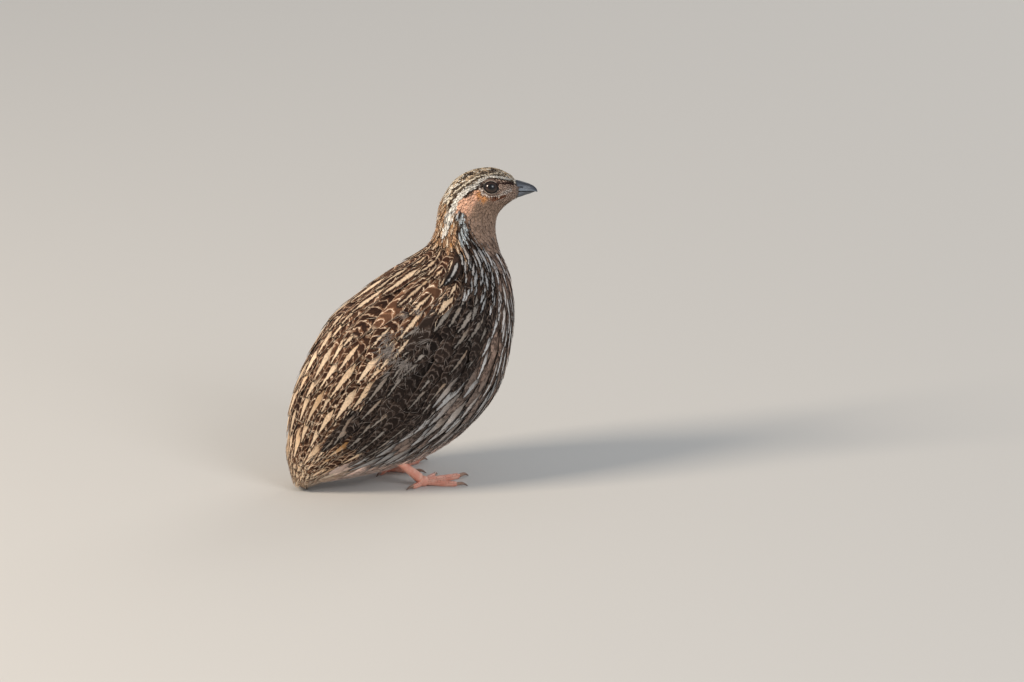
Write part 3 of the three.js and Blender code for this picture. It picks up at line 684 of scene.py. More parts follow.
def piece(name, where, rows, columns, slot, replaced=(), place=None):
    """One piece of many vanes. where holds the properties of its feathers, and place a rule of its own for
    where their points lie."""
    n = len(where["a"])
    s, t, under, quads = vane_template(rows, columns)
    get = reader(where, shape=(-1, 1))
    S, T = np.broadcast_to(s, (n, len(s))), np.broadcast_to(t, (n, len(s)))
    at_rim, at_tip = np.abs(T) > 0.999, S > 0.999
    fray = np.where(at_rim, 1 - get("rag") * rng.random(S.shape) * 2 * (S > 0.3), 1)
    width = vane_width(S, get("point")) * fray
    reach = S * get("length") * (1 - get("rag") * 0.5 * rng.random(S.shape) * at_tip)
    across = T * get("half") * width
    height = vane_height(get, S, T * width) - under * get("thick") * (1 - 0.55 * T**2)
    if place is None:
        _, _, per_section, per_radian = surface(get("a"), get("r"))
        back, left = spun(reach, across, get("turn") + get("bend") * S)
        a = np.clip(get("a") - back / np.maximum(per_section, 1.5), 0.12, LAST - 0.02)
        places = in_row(above(a, get("r") + left / np.maximum(per_radian, 2.5), height))
    else:
        places = place(reach, across, height)
    rand = rng.random((n, 1))
    join = lambda *parts: np.stack([np.broadcast_to(p, S.shape).ravel() for p in parts], -1)
    shown = smooth(S, get("starts") - 0.12, get("starts") + 0.1)
    attributes = {
        "vane": join(S, T, rand),
        "span": join(reach * get("real"), across, get("warm")),
        "mark": join(get("streak") * shown, get("bars"), get("barred")),
        "trim": join(get("edge"), get("fringe"), get("mottle")),
    }
    for key in ("web", "dark", "bar", "line"):
        attributes[key] = np.repeat(where[key], len(s), axis=0)
    # Each vane's patch of the bake map lies at its root's place on the unwrapped body.
    u = on_map((get("r") / math.pi + 1) / 2) + T * width * get("patch") / 2
    v = on_map(np.clip(get("a"), 0, LAST) / LAST) + (0.5 - S) * get("patch")
    face = (quads[None] + np.arange(n)[:, None, None] * len(s)).reshape(-1, 4)
    made = made_mesh(name, places.reshape(-1, 3), face, attributes, np.stack([u, v], -1).reshape(-1, 2))
    finished(made, PLUMAGE, slot, *replaced)


def scatter(inside, gaps, low, high, tries, closer=None):
    """Roots spread evenly where inside(a, deg) holds, never nearer to each other than gaps says at their
    section. closer(a, deg) may narrow the gaps."""
    a, r = rng.uniform(low, high, tries), rng.uniform(-math.pi, math.pi, tries)
    points, _, per_section, per_radian = surface(a, r)
    area = per_section * per_radian
    keep = (rng.random(tries) < area / area.max()) & inside(a, degrees_round(r))
    a, r, points = a[keep], r[keep], points[keep]
    gap = np.interp(a, *gaps)
    if closer:
        gap = gap * closer(a, degrees_round(r))
    tree = KDTree(len(a))
    for i, p in enumerate(points):
        tree.insert(p, i)
    tree.balance()
    free = np.ones(len(a), bool)
    chosen = []
    for i in range(len(a)):
        if free[i]:
            chosen.append(i)
            for _, j, _ in tree.find_range(points[i], gap[i]):
                free[j] = False
    return a[chosen], r[chosen], gap[chosen]


def ring_of(arc, angles, gap, odd):
    """Angles of roots a gap apart on both sides of the back, half a gap further round in odd rows."""
    found = np.interp((np.arange(80) + 0.5 * odd) * gap, arc, angles, right=9)
    return [side * p for p in found[found < 9] for side in ((1, -1) if p > 1e-6 else (1,))]


def rows_of(first, last, gaps, share, low, high, mid):
    """Roots in staggered rows from the head back, the gaps between them, and the steps to the next row: a
    share of the gap at mid degrees round. low and high bound the rows, in degrees."""
    angles = np.radians(np.linspace(0, 180, 361))
    found = []
    at, odd = first, False
    while at > last:
        _, _, per_section, per_radian = surface(np.full_like(angles, at), angles)
        arc = np.concatenate([[0], np.cumsum((per_radian[1:] + per_radian[:-1]) / 2 * np.diff(angles))])
        gap = np.interp(at, *gaps)
        for r in ring_of(arc, angles, gap, odd):
            if low <= degrees_round(r) <= high:
                found.append((at, r, gap, np.interp(abs(r), angles, per_section)))
        at -= gap * share / np.interp(math.radians(mid), angles, per_section)
        odd = not odd
    a, r, gap, local = np.array(found).T
    step = np.interp(a, *gaps) * share * local / surface(a, np.full_like(a, math.radians(mid)))[2]
    return a + rng.uniform(-0.08, 0.08, len(a)), r + rng.uniform(-0.03, 0.03, len(a)), gap, step


# The coat by region. A feather is long times the step between rows, or times the gap between roots that are
# scattered, and half its width is wide times the gap. lean turns it towards the middle of the back, and lead
# is the share of its length at which its kind is read. Pairs are ranges to draw from, in their order here.
COAT = {
    "back": dict(
        long=2.9, wide=0.52, point=(0.15, 0.55), turn=(-0.1, 0.1), root=-1.2, tip=0.75, arch=0.25, rise=1.3,
        crown=0.5, tilt=0.22, thick=0.2, rag=0.07, patch=0.028,
    ),
    "wing": dict(
        long=2.9, wide=0.56, point=(0.05, 0.4), turn=(-0.1, 0.1), lean=0.06, root=-1.0, tip=0.6, arch=0.2,
        rise=1.3, crown=0.4, tilt=0.2, thick=0.18, rag=0.06, patch=0.022,
    ),
    "side": dict(
        long=(2.61, 3.19), wide=0.51, point=(0.4, 0.85), turn=(-0.1, 0.1), lean=0.05, root=-1.1, tip=0.3,
        arch=0.15, rise=1.3, crown=0.35, tilt=0.2, thick=0.16, rag=0.14, patch=0.015,
    ),
    "belly": dict(
        long=(3.4, 4.8), wide=0.5, point=(0.6, 1.0), turn=(-0.24, 0.24), bend=(-0.3, 0.3), root=-1.1, tip=0.2,
        arch=0.12, crown=0.2, tilt=0.12, thick=0.12, rag=0.25, patch=0.006,
    ),
    "neck": dict(
        long=(2.7, 3.6), wide=0.58, point=(0.4, 0.8), turn=(-0.14, 0.14), root=-0.9, tip=0.2, crown=0.2,
        tilt=0.12, thick=0.12, rag=0.15, patch=0.009,
    ),
    "throat": dict(
        long=(3.0, 3.8), wide=0.95, point=(0.1, 0.4), turn=(-0.12, 0.12), root=-0.4, tip=0.0, crown=0.04,
        tilt=0.02, thick=0.07, rag=0.06, patch=0.005,
    ),
    "head": dict(
        long=(2.5, 3.2), wide=0.74, turn=(-0.15, 0.15), point=(0.3, 0.7), crown=0.07, tilt=0.04, thick=0.08,
        rag=0.15, patch=0.0035, lead=0.3, streak=0.0,
    ),
}


def dressed(region, a, r, step, gap, **more):
    """Properties of a region's feathers, by the kind that grows at each."""
    n = len(a)
    vary = lambda low, high: rng.uniform(low, high, n)
    form = {key: vary(*value) if isinstance(value, tuple) else value for key, value in COAT[region].items()}
    form |= more
    form["turn"] -= form.pop("lean", 0.0) * np.sign(r)
    form["length"], form["half"] = step * form.pop("long"), gap * form.pop("wide")
    behind = form.pop("lead", 0.6) * form["length"] / np.maximum(surface(a, r)[2], 2)
    seen = np.clip(a - behind, 0.2, LAST)
    kinds = kind_of(seen, r, vary(-1, 1))
    look = {key: np.array([KINDS[name][key] for name in KIND_NAMES], float)[kinds] for key in KINDS["back"]}
    for key in ("streak", "edge", "bars", "barred", "fringe", "mottle", "starts"):
        look[key] *= vary(0.78, 1.18)
    look["warm"] *= vary(0, 1.4) ** 2
    for key in ("web", "dark", "bar"):
        look[key] *= vary(0.82, 1.2)[:, None]
    look["streak"] *= rng.random(n) < look["lined"]
    orange = (rng.random(n) < 0.06) & (kinds == KIND_NAMES.index("back"))
    look["warm"] = np.where(orange, 1.0, look["warm"])
    look["line"] *= vary(0.82, 1.05)[:, None]
    over, ruled = head_colour(straight(seen, r), seen, r)
    over = over * vary(0.86, 1.14)[:, None]
    share = (ruled * (seen > MARKS_FROM))[:, None]
    tones = dict(web=over, dark=over * 0.72, bar=over * 1.15, line=np.clip(over * 1.3, 0, 0.9))
    for key, tone in tones.items():
        look[key] = look[key] * (1 - share) + tone * share
    return dict(a=a, r=r) | look | form


def plain(n, kind, **more):
    """Feathers of one kind that are placed by their own rule, with a length of one."""
    look = dict(real=20.0)
    for key in ("web", "dark", "bar", "line"):
        look[key] = KINDS[kind][key] * rng.uniform(0.85, 1.12, n)[:, None]
    for key in ("streak", "edge", "bars", "barred", "fringe", "mottle"):
        look[key] = KINDS[kind][key] * rng.uniform(0.8, 1.15, n)
    return look | dict(warm=KINDS[kind]["warm"] * rng.uniform(0, 1.3, n)) | more


def loose(tone, shade=0.75, **more):
    """Properties of loose barbs, each of one tone from root to tip."""
    return dict(tilt=0.0, rag=0.0, point=0.9, web=tone, dark=tone * shade, bar=tone, line=tone) | more


def part_of(where, keep):
    return {k: v[keep] if np.ndim(v) and len(v) == len(keep) else v for k, v in where.items()}


def wisps(where, per, stray=0.0, size=1.0):
    """Loose barbs that stand out from the rims of feathers, each coloured like its feather. A stray share of
    them is long, thin and pale."""
    get = reader(where, per)
    count = len(where["a"]) * per
    draw = lambda low, high: rng.uniform(low, high, count)
    s = draw(0.4, 1.0)
    side = rng.choice([-1.0, 1.0], count)
    t = vane_width(s, get("point")) * draw(0.5, 0.92) * side
    back, left = spun(s * get("length"), t * get("half"), get("turn"))
    _, _, per_section, per_radian = surface(get("a"), get("r"))
    height = vane_height(get, s, t)
    out = dict(
        a=np.clip(get("a") - back / per_section, 0.4, LAST), r=get("r") + left / per_radian,
        length=draw(2.2, 4.0) * size, half=draw(0.12, 0.2) * size**0.5,
        turn=get("turn") + side * draw(0.15, 0.5), bend=-side * draw(0, 0.4),
        root=height - 0.1 * size, tip=height + draw(-0.05, 0.18) * size, arch=0.05 * size,
    )
    chosen = rng.choice(3, count, p=[0.4, 0.35, 0.25])[:, None]
    web, dark, bar = (np.repeat(where[key], per, axis=0) for key in ("web", "dark", "bar"))
    tone = np.where(chosen == 0, web, np.where(chosen == 1, dark * 0.6 + web * 0.4, bar))
    odd = rng.random(count) < stray
    strayed = dict(
        length=draw(4.5, 8.5), half=0.1, turn=get("turn") + draw(-1.0, 1.0), bend=draw(-1.0, 1.0),
        tip=height + 0.3, root=height + 0.02,
    )
    for key, value in strayed.items():
        out[key] = np.where(odd, value, out[key])
    tone = np.where(odd[:, None], bar * 0.8 + rgb(200, 190, 182) * 0.2, tone)
    return loose(tone, crown=0.04, thick=0.07, **out)


# The eye's place, the same as the part's
EYE = dict(x=40.5, z=134.9, radius=3.7, deep=2.8, long=2.85, high=2.4, slant=math.radians(-12))
POLE = 0.02  # radians from a ball's pole to its first ring


def eye_frame():
    """The left eye's centre, and the ways ahead, up and out of it."""
    a, r = np.meshgrid(np.arange(16, 18, 0.02), np.arange(0.6, 2.2, 0.02), indexing="ij")
    p = straight(a, r)
    k = np.unravel_index(np.hypot(p[..., 0] - EYE["x"], p[..., 2] - EYE["z"]).argmin(), a.shape)
    point, out, _, _ = surface(a[k], r[k])
    up = np.cross([math.cos(EYE["slant"]), 0, math.sin(EYE["slant"])], out)
    up *= np.sign(up[2]) / np.linalg.norm(up)
    ahead = np.cross(out, up)
    return point - out * EYE["deep"], ahead * np.sign(ahead[0]), up, out


EYE_CENTRE, EYE_AHEAD, EYE_UP, EYE_OUT = eye_frame()


def by_eye(ahead, up, out):
    """Points by how far ahead of the left eye's centre they lie, how far up and how far out."""
    return EYE_CENTRE + ahead[..., None] * EYE_AHEAD + up[..., None] * EYE_UP + out[..., None] * EYE_OUT


def from_eye(a, r):
    """Where points lie in the eye's own plane: how far ahead, how far up, and as the radius of an ellipse."""
    p = straight(a, np.abs(r)) - EYE_CENTRE
    ahead, up = p @ EYE_AHEAD, p @ EYE_UP
    return ahead, up, np.hypot(ahead / EYE["long"], up / EYE["high"])


def skin_material():
    g = Graph("skin")
    fine = g.grain(2500, 3)
    g.bump(fine, 0.0002, 0.6)
    return g.finish(g.scaled(g.attribute("tint"), fine * 0.5 + 0.7), Roughness=0.75)


def body_skin():
    """One closed form under the coat, from the rump to the root of the bill."""
    around = 180
    a = np.concatenate([np.linspace(0.12, 13, 120), np.linspace(13.05, LAST - 0.01, 140)])
    a, r = np.meshgrid(a, circle(around) - math.pi, indexing="ij")
    places = in_row(above(a, r, -np.interp(a, *COAT_DEPTH)))
    flat_a, flat_r = a.ravel(), r.ravel()
    kinds = kind_of(flat_a, flat_r, np.zeros(a.size))
    # The skin's tint is the kinds' web darkened to three quarters, as painted shade in the gaps between the
    # feathers.
    web = np.array([KINDS[name]["web"] for name in KIND_NAMES])[kinds] * 0.75
    over, ruled = head_colour(straight(flat_a, flat_r), flat_a, flat_r)
    ruled = (ruled * (flat_a > MARKS_FROM))[:, None]
    tint = web * (1 - ruled) + over * 0.95 * ruled
    made = closed_tube("skin", places, {"tint": tint.reshape(places.shape)})
    finished(made, skin_material(), "body_plumage", "torso", "neck", "head")


def eye_material():
    g = Graph("eye")
    turn = g.parts("iris")[0]  # degrees from where the eye looks
    iris = g.mix(g.ramp(g.grain(3500, 3), 0.35, 0.7), rgb(30, 16, 9), rgb(62, 36, 20))
    iris = g.mix(g.ramp(turn, 34, 46), iris, rgb(30, 17, 10))
    iris = g.mix(g.ramp(turn, 19, 24), rgb(4, 3, 3), iris)
    return g.finish(iris, Roughness=0.2, Coat_Weight=0.7, Coat_Roughness=0.02, Specular_IOR_Level=0.25)


def lid_material():
    g = Graph("lid")
    share = g.parts("ring")[0]
    fine = g.grain(3000, 3)
    ragged = fine * 0.16 + share - 0.08
    colour = g.mix(g.ramp(ragged, 0.34, 0.42), rgb(26, 19, 17), rgb(190, 172, 154))
    colour = g.mix(g.ramp(ragged, 0.5, 0.6), colour, rgb(112, 90, 78))
    g.bump(g.math("SINE", share * 60) + fine, 0.00006, 0.6)
    return g.finish(g.scaled(colour, fine * 0.4 + 0.8), Roughness=0.5)


# The lids by their share of the way out from the opening: width as a share of it, and height over the ball
LID_WIDE = ([0, 0.15, 0.35, 0.6, 1], [1.0, 1.07, 1.18, 1.32, 1.6])
LID_RISE = ([0, 0.12, 0.3, 0.45, 0.6, 1.0], [-0.02, 0.3, 0.34, 0.2, 0.2, -0.5])
LID_THICK = 0.5
LID_BASE = 2.75  # height of the skin round the eye, over its centre
CORNEA = dict(bulge=0.22, reach=math.radians(42))


def eyes():
    look, lid = eye_material(), lid_material()
    around = 64
    spin = circle(around)[None]
    turn = np.linspace(POLE, math.pi - POLE, 48)[:, None]
    radius = EYE["radius"] + CORNEA["bulge"] * np.clip(1 - (turn / CORNEA["reach"]) ** 2, 0, 1)
    flat = radius * np.sin(turn)
    ball = by_eye(flat * np.cos(spin), flat * np.sin(spin), radius * np.cos(turn) + 0 * spin)
    share = np.linspace(0, 1, 26)[:, None]
    wide = np.interp(share, *LID_WIDE)
    # A lip over the ball, a fold, and a slope under the coat
    rho = np.hypot(EYE["long"] * np.cos(spin), EYE["high"] * np.sin(spin)) * wide
    on_ball = np.sqrt(np.clip(EYE["radius"] ** 2 - rho**2, 0, None))
    lip = np.interp(share, *LID_RISE)
    blend = smooth(share, 0.3, 0.75)
    rise = (on_ball + lip) * (1 - blend) + (LID_BASE - rho**2 / 24 + lip * 0.7) * blend
    crease = 0.06 * np.sin(share * 34 + 0.8 * np.sin(spin * 3)) * smooth(share, 0.2, 0.4)
    corner = 1 + 0.1 * np.abs(np.cos(spin)) ** 6 * smooth(share, 0.0, 0.3)
    top = by_eye(EYE["long"] * wide * corner * np.cos(spin), EYE["high"] * wide * np.sin(spin), rise + crease)
    lids = np.concatenate([top, top[::-1] - LID_THICK * EYE_OUT])
    i = np.arange(around)
    k = (i + 1) % around
    end = (len(lids) - 1) * around
    faces = np.concatenate([grid_faces(len(lids), around, wrap=True), np.stack([end + i, end + k, k, i], -1)])
    for name, mirror in (("left", (1, 1, 1)), ("right", (1, -1, 1))):
        degrees = np.degrees(turn) + 0 * spin
        made = closed_tube(f"eye_ball_{name}", in_row(ball * mirror), {"iris": three(degrees)})
        finished(made, look, "eye", f"eye_{name}")
        ring = three(np.concatenate([share, share[::-1]]) + 0 * spin).reshape(-1, 3)
        made = made_mesh(f"eyelids_{name}", in_row(lids * mirror).reshape(-1, 3), faces, {"ring": ring})
        finished(made, lid, "head_plumage")


# The bill from its root: x, the upper and the lower edge's z, and half the width
BILL = [
    (52.4, 135.5, 127.2, 3.2), (54.3, 135.0, 127.7, 2.95), (56.4, 134.3, 128.4, 2.5),
    (58.6, 133.5, 128.9, 1.95), (60.4, 132.5, 129.4, 1.3), (61.9, 130.8, 129.9, 0.4),
]
BITE = dict(root=130.8, tip=130.5, hook=0.9, half_gap=0.12)
LOWER_BILL = dict(reach=0.86, width=0.9)
NOSTRIL = (53.9, 133.0)
UNDER_FACE = 2.2  # how far the bill's root reaches back under the feathers


def horn_material():
    g = Graph("horn")
    t, rise, low = g.parts("bill")
    slit = g.parts("slit")[0]
    streaks = g.noise(g.joined(t * 4, rise * 14, 0.0), 2.0, 3)
    colour = g.mix(g.ramp(t, 0.0, 0.6), rgb(104, 110, 120), rgb(66, 71, 80))
    colour = g.mix(g.ramp(rise, 0.5, 0.95) * 0.8, colour, rgb(38, 38, 42))
    # A pale blue-grey band along each mandible's edge by the mouth line is a painted highlight.
    colour = g.mix(g.ramp(rise, 0.4, 0.12) * 0.6, colour, rgb(142, 150, 158))
    colour = g.mix(low * g.ramp(t, 0.1, 0.5), colour, rgb(84, 88, 92))
    # Near black where the mandibles meet: painted shade in the gap between them.
    colour = g.mix(g.ramp(rise, 0.1, 0.02), colour, rgb(22, 19, 22))
    # The nostril's slit is near black: painted shade in its recess.
    colour = g.mix(slit, colour, rgb(16, 14, 15))
    g.bump(streaks + g.grain(1800, 3) * 0.3, 0.00008, 0.5)
    colour = g.scaled(colour, streaks * 0.5 + 0.75)
    return g.finish(colour, Roughness=0.36, Coat_Weight=0.15, Coat_Roughness=0.3)


def bill():
    horn = horn_material()
    t_at, top = catmull([(x, z) for x, z, _, _ in BILL])
    _, low = catmull([(x, z) for x, _, z, _ in BILL])
    _, half = catmull([(i, w) for i, (_, _, _, w) in enumerate(BILL)])
    t_at = t_at / t_at[-1]
    spin = circle(96)[None]
    rise = np.maximum(0, np.cos(spin))
    for name, edge, reach, wide, gap in (
        ("upper", top, 1.0, 1.0, BITE["half_gap"]),
        ("lower", low, LOWER_BILL["reach"], LOWER_BILL["width"], -BITE["half_gap"]),
    ):
        upper = name == "upper"
        t = (np.linspace(0, 1, 80) ** 0.9 * reach)[:, None]
        ease = 1.0 if upper else 0.08 + 0.92 * np.sqrt(np.clip(1 - (t / reach) ** 4, 0, 1))
        bite = BITE["root"] + (BITE["tip"] - BITE["root"]) * t - BITE["hook"] * t**5 + gap
        round_tip = np.sqrt(np.clip(1 - np.clip((t - 0.93 * reach) / (0.08 * reach), 0, 0.98) ** 2, 0, 1))
        z = bite + (np.interp(t, t_at, edge[:, 1]) - bite) * rise * ease * round_tip
        width = np.interp(t, t_at, half[:, 1]) * ease * wide * round_tip
        y = width * np.sign(np.sin(spin)) * np.abs(np.sin(spin)) ** 0.9 * (1 - 0.22 * rise)
        x = np.interp(t, t_at, edge[:, 0]) - UNDER_FACE * smooth(-t, -0.05, 0.0) + 0 * spin
        slit = 0 * x
        if upper:
            # A soft flap arches over each nostril's slit.
            gap_x, gap_z = x - NOSTRIL[0], z - NOSTRIL[1]
            flap = 0.32 * np.exp(-((gap_x / 1.5) ** 2) - ((gap_z - 0.35) / 0.62) ** 2)
            slit = 0.55 * np.exp(-(((gap_x - 0.25) / 1.05) ** 4) - ((gap_z + 0.28 + 0.1 * gap_x) / 0.24) ** 2)
            y = y + np.sign(y) * (flap - slit) * (rise > 0.02)
        low_half = np.full_like(x, not upper)
        marks = {
            "bill": np.stack([t + 0 * spin, rise + 0 * t, low_half], -1),
            "slit": three(np.clip(slit * 2.2, 0, 1) * (rise > 0.02)),
        }
        made = closed_tube(f"bill_{name}", in_row(np.stack([x, y, z], -1)), marks)
        finished(made, horn, "horn", f"{name}_bill")


# Feet, as the part's: the ankle's and the hock's places and each toe's direction in degrees
FEET = {
    "right": dict(x=3.2, y=-15, hock=(-15.4, -14, 18.6), inner=48, middle=14, outer=-26, hind=205),
    "left": dict(x=-3.6, y=12, hock=(-21.4, 13, 19.2), inner=-34, middle=22, outer=58, hind=222),
}
TOES = {"inner": (14.5, 1.35), "middle": (21.5, 1.5), "outer": (16.5, 1.35), "hind": (7.5, 1.2)}
CLAW = 3.6
SHANK = dict(radii=(2.4, 1.85, 2.4), reference=(0, 1, 0), rings=90, around=48, flatten=0.85)
FINGER = dict(reference=(0, 0, 1), rings=90, around=32)
NAIL = dict(reference=(0, 0, 1), rings=24, around=20, ends=(3.0, 6.0))
PALM = dict(radius=2.5, height=2.1)
TOE_BEND = ((0.28, 0.5), (0.62, 0.1), (1, 0))  # how far along a toe, and how high over its end
TOE_TAPER = (1.1, 1.02, 0.95, 0.72)
FLOOR_FLAT = 0.3


def scutes(period, height, under):
    """Overlapping plates on a tube's top, small scales at its sides and pads below."""

    def relief(length, spin):
        off = np.abs((spin + math.pi) % (2 * math.pi) - math.pi)
        top, below = 1 - smooth(off, 0.95, 1.25), smooth(off, 2.0, 2.4)
        sides = (1 - top) * (1 - below)
        saw = (length / period + 0.08 * np.cos(spin * 2)) % 1.0
        plate = saw**0.7 * (1 - smooth(saw, 0.88, 1.0))
        seam = 1 - smooth(np.abs(saw - 0.97), 0.03, 0.14)
        cells = np.sin(length / 0.42) * np.sin(spin * 9 + (length // 1.3) * 1.6)
        pads = np.abs(np.sin(math.pi * length / under))
        raised = top * (plate * height) + sides * 0.05 * cells + below * 0.12 * pads
        lateral = 1 - smooth(np.abs(off - 1.1), 0.04, 0.14)
        groove = np.maximum(top * seam, 0.7 * lateral) + 0.35 * sides * (cells < -0.35)
        return raised - 0.05 * lateral, np.clip(groove, 0, 1)

    return relief


def tube(points, radii, relief=None, *, reference, rings, around, flatten=1.0, ends=(3.0, 3.0)):
    """Rings of points round a curved line and how deep each lies in a groove. relief takes millimetres along
    it and the angle from its top, and gives how far the skin is raised there, and the groove."""
    t_at, path = catmull(points)
    _, thick = catmull(list(enumerate(radii)))
    u = 0.5 - 0.5 * np.cos(math.pi * np.linspace(0.0, 1.0, rings))
    centre = np.stack([np.interp(u, t_at / t_at[-1], path[:, i]) for i in range(3)], -1)
    radius = np.interp(u, np.linspace(0, 1, len(thick)), thick[:, 1])
    closing = np.where(u < 0.5, ends[0], ends[1]) * np.sin(math.pi * np.clip(u, 0.002, 0.998))
    radius = (radius * np.minimum(1, closing))[:, None]
    tangent = np.gradient(centre, axis=0)
    tangent /= np.maximum(np.linalg.norm(tangent, axis=1, keepdims=True), 1e-9)
    side = np.cross(np.array(reference, float), tangent)
    side /= np.linalg.norm(side, axis=1, keepdims=True)
    up = np.cross(tangent, side)
    spin = circle(around)[None]
    length = np.concatenate([[0], np.cumsum(np.linalg.norm(np.diff(centre, axis=0), axis=1))])[:, None]
    raised, groove = relief(length, spin) if relief else (0 * length * spin, 0)
    full = radius + raised * np.minimum(1, radius)
    places = (
        centre[:, None]
        + side[:, None] * (full * np.sin(spin))[..., None]
        + up[:, None] * (full * flatten * np.cos(spin))[..., None]
    )
    places[..., 2] = np.maximum(places[..., 2], 0.0)
    return places, groove


def foot_material():
    g = Graph("foot_skin")
    groove = g.parts("scale")[0]
    fine = g.grain(2600, 3)
    colour = g.mix(g.ramp(g.grain(260, 2), 0.35, 0.65), rgb(236, 180, 158), rgb(224, 150, 128))
    # The grooves between the scales are darkened: painted shade in the creases.
    colour = g.mix(groove * 0.7, colour, rgb(150, 88, 72))
    g.bump(fine, 0.00008, 0.5)
    return g.finish(g.scaled(colour, fine * 0.3 + 0.85), Roughness=0.45, Specular_IOR_Level=0.4)


def claw_material():
    g = Graph("claw")
    colour = g.mix(g.ramp(g.parts("scale")[0], 0.1, 0.9), rgb(176, 140, 120), rgb(92, 72, 62))
    return g.finish(g.scaled(colour, g.grain(1500, 2) * 0.3 + 0.85), Roughness=0.35)


def joined_objects(name, parts):
    bpy.ops.object.select_all(action="DESELECT")
    for part in parts:
        part.select_set(True)
    bpy.context.view_layer.objects.active = parts[0]
    bpy.ops.object.join()
    parts[0].name = name
    return parts[0]


def feet():
    flesh, nail = foot_material(), claw_material()

    def limb(name, places, groove):
        return closed_tube(name, in_row(places, head=False), {"scale": three(groove)})

    for name, foot in FEET.items():
        ankle = np.array([foot["x"], foot["y"], PALM["height"]])
        hock = np.array(foot["hock"])
        shank = tube([ankle, (ankle + hock) / 2, hock], relief=scutes(2.0, 0.2, 1.2), **SHANK)
        turn = np.linspace(POLE, math.pi - POLE, 24)[:, None]
        spin = circle(36)[None]
        ball = [np.sin(turn) * np.cos(spin), np.sin(turn) * np.sin(spin), np.cos(turn) + 0 * spin]
        ball = ankle + PALM["radius"] * np.stack(ball, -1)
        ball[..., 2] = np.maximum(ball[..., 2], 0.0)
        parts, claws = [limb("shank", *shank), limb("palm", ball, 0 * turn + 0 * spin)], []
        for toe, (length, radius) in TOES.items():
            angle = math.radians(foot[toe])
            low = radius - FLOOR_FLAT

            def at(far, z):
                return (foot["x"] + math.cos(angle) * far, foot["y"] + math.sin(angle) * far, z)

            line = [at(-1, PALM["height"])] + [at(length * far, low + lift) for far, lift in TOE_BEND]
            finger = tube(line, [radius * share for share in TOE_TAPER], scutes(1.25, 0.17, 2.6), **FINGER)
            parts.append(limb("toe", *finger))
            line = [at(length - 2.2, low), at(length + CLAW * 0.35, low + 0.35), at(length + CLAW, 0.3)]
            places, _ = tube(line, [radius * 0.6, radius * 0.46, 0.12], **NAIL)
            along = np.linspace(0, 1, NAIL["rings"])[:, None] + np.zeros(places.shape[:2])
            claws.append(limb("nail", places, along))
        finished(joined_objects(f"foot_{name}", parts), flesh, "bare_skin", f"leg_{name}")
        finished(joined_objects(f"claws_{name}", claws), nail, "horn")


# The coat: gaps between feathers in millimetres at sections
BACK_GAP = ([1, 2.5, 4, 8, 9, 10, 11], [6.6, 8.2, 9.0, 8.6, 6.8, 5.0, 3.8])
WING_GAP = ([1, 3, 4, 8, 9.2], [5.4, 6.4, 7.0, 6.4, 5.0])
SIDE_GAP = ([2, 4, 7, 8.5, 11.5], [4.8, 5.8, 5.4, 4.8, 3.4])
BELLY_GAP = ([1, 7], [1.8, 2.2])
NECK_GAP = ([9.4, 10.4, 11, 12.5, 14.2], [3.5, 2.9, 2.1, 1.45, 1.2])
THROAT_GAP = ([11, 14, 16.5], [1.35, 1.1, 0.95])
HEAD_GAP = ([13.8, 15.5, 18, 19.5], [1.0, 0.78, 0.62, 0.46])
TAIL_GAP = ([-0.4, 1.2, 3.1], [3.4, 5.4, 6.6])
# Heights of the head's feathers at their roots and tips
HEAD_ROOT = ([18.8, 19.6], [-0.36, -0.12])
HEAD_TIP = ([14, 18, 20], [0.06, 0.03, 0.02])
# Streaks are wider down the back, and short over the shoulders.
BACK_STREAK = ([1.5, 3, 6, 8.5, 10.9], [1.7, 1.6, 1.4, 0.95, 0.5])
BACK_STARTS = ([6, 8, 10.9], [1.0, 1.42, 1.5])
# Where the feathers of the sides and of the belly begin and end, in degrees round from the back
SIDE_FROM = ([2, 2.6, 3.2, 8.4, 8.8, 9, 12], [96, 98, 97, 97, 80, 62, 62])
SIDE_TO = ([2, 6, 7, 12], [126, 158, 181, 181])
BELLY_FROM = ([1.2, 2, 6, 7.5], [112, 108, 138, 165])
FACE_END = ([0, 40, 75, 105, 140, 180], [20.15, 20.4, 20.9, 20.9, 20.6, 20.45])  # the last section there


def back_and_wings():
    a, r, gap, step = rows_of(10.9, 1.5, BACK_GAP, 1.25, 0, 63, 35)
    where = dressed("back", a, r, step, gap)
    # Over the shoulders every feather has a streak.
    where["streak"] = np.where((a > 9.2) & (where["streak"] == 0), 0.9, where["streak"])
    where["streak"] *= np.interp(a, *BACK_STREAK)
    where["starts"] *= np.interp(a, *BACK_STARTS)
    piece("back_feathers", where, 18, 10, "body_plumage")
    piece("back_barbs", wisps(where, 14, 0.1), 4, 2, "body_plumage")
    a, r, gap, step = rows_of(9.1, 2.5, WING_GAP, 1.25, 58, 101, 80)
    where = dressed("wing", a, r, step, gap)
    for name, side in (("left", 1), ("right", -1)):
        half = part_of(where, r * side > 0)
        piece(f"wing_coverts_{name}", half, 16, 8, "wing_plumage", (f"wing_{name}",))
        rng.random(len(half["a"]))  # draws numbers that are not used, which sets the draws that follow
        piece(f"wing_barbs_{name}", wisps(half, 12, 0.22), 4, 2, "wing_plumage")


# Pixels on the right wing where the photograph shows ruffled pale barbs, and how many tufts grow at each
RUFFLED = [(391, 341, 9), (400, 362, 8), (408, 352, 4), (424, 313, 3)]
PER_TUFT = 16


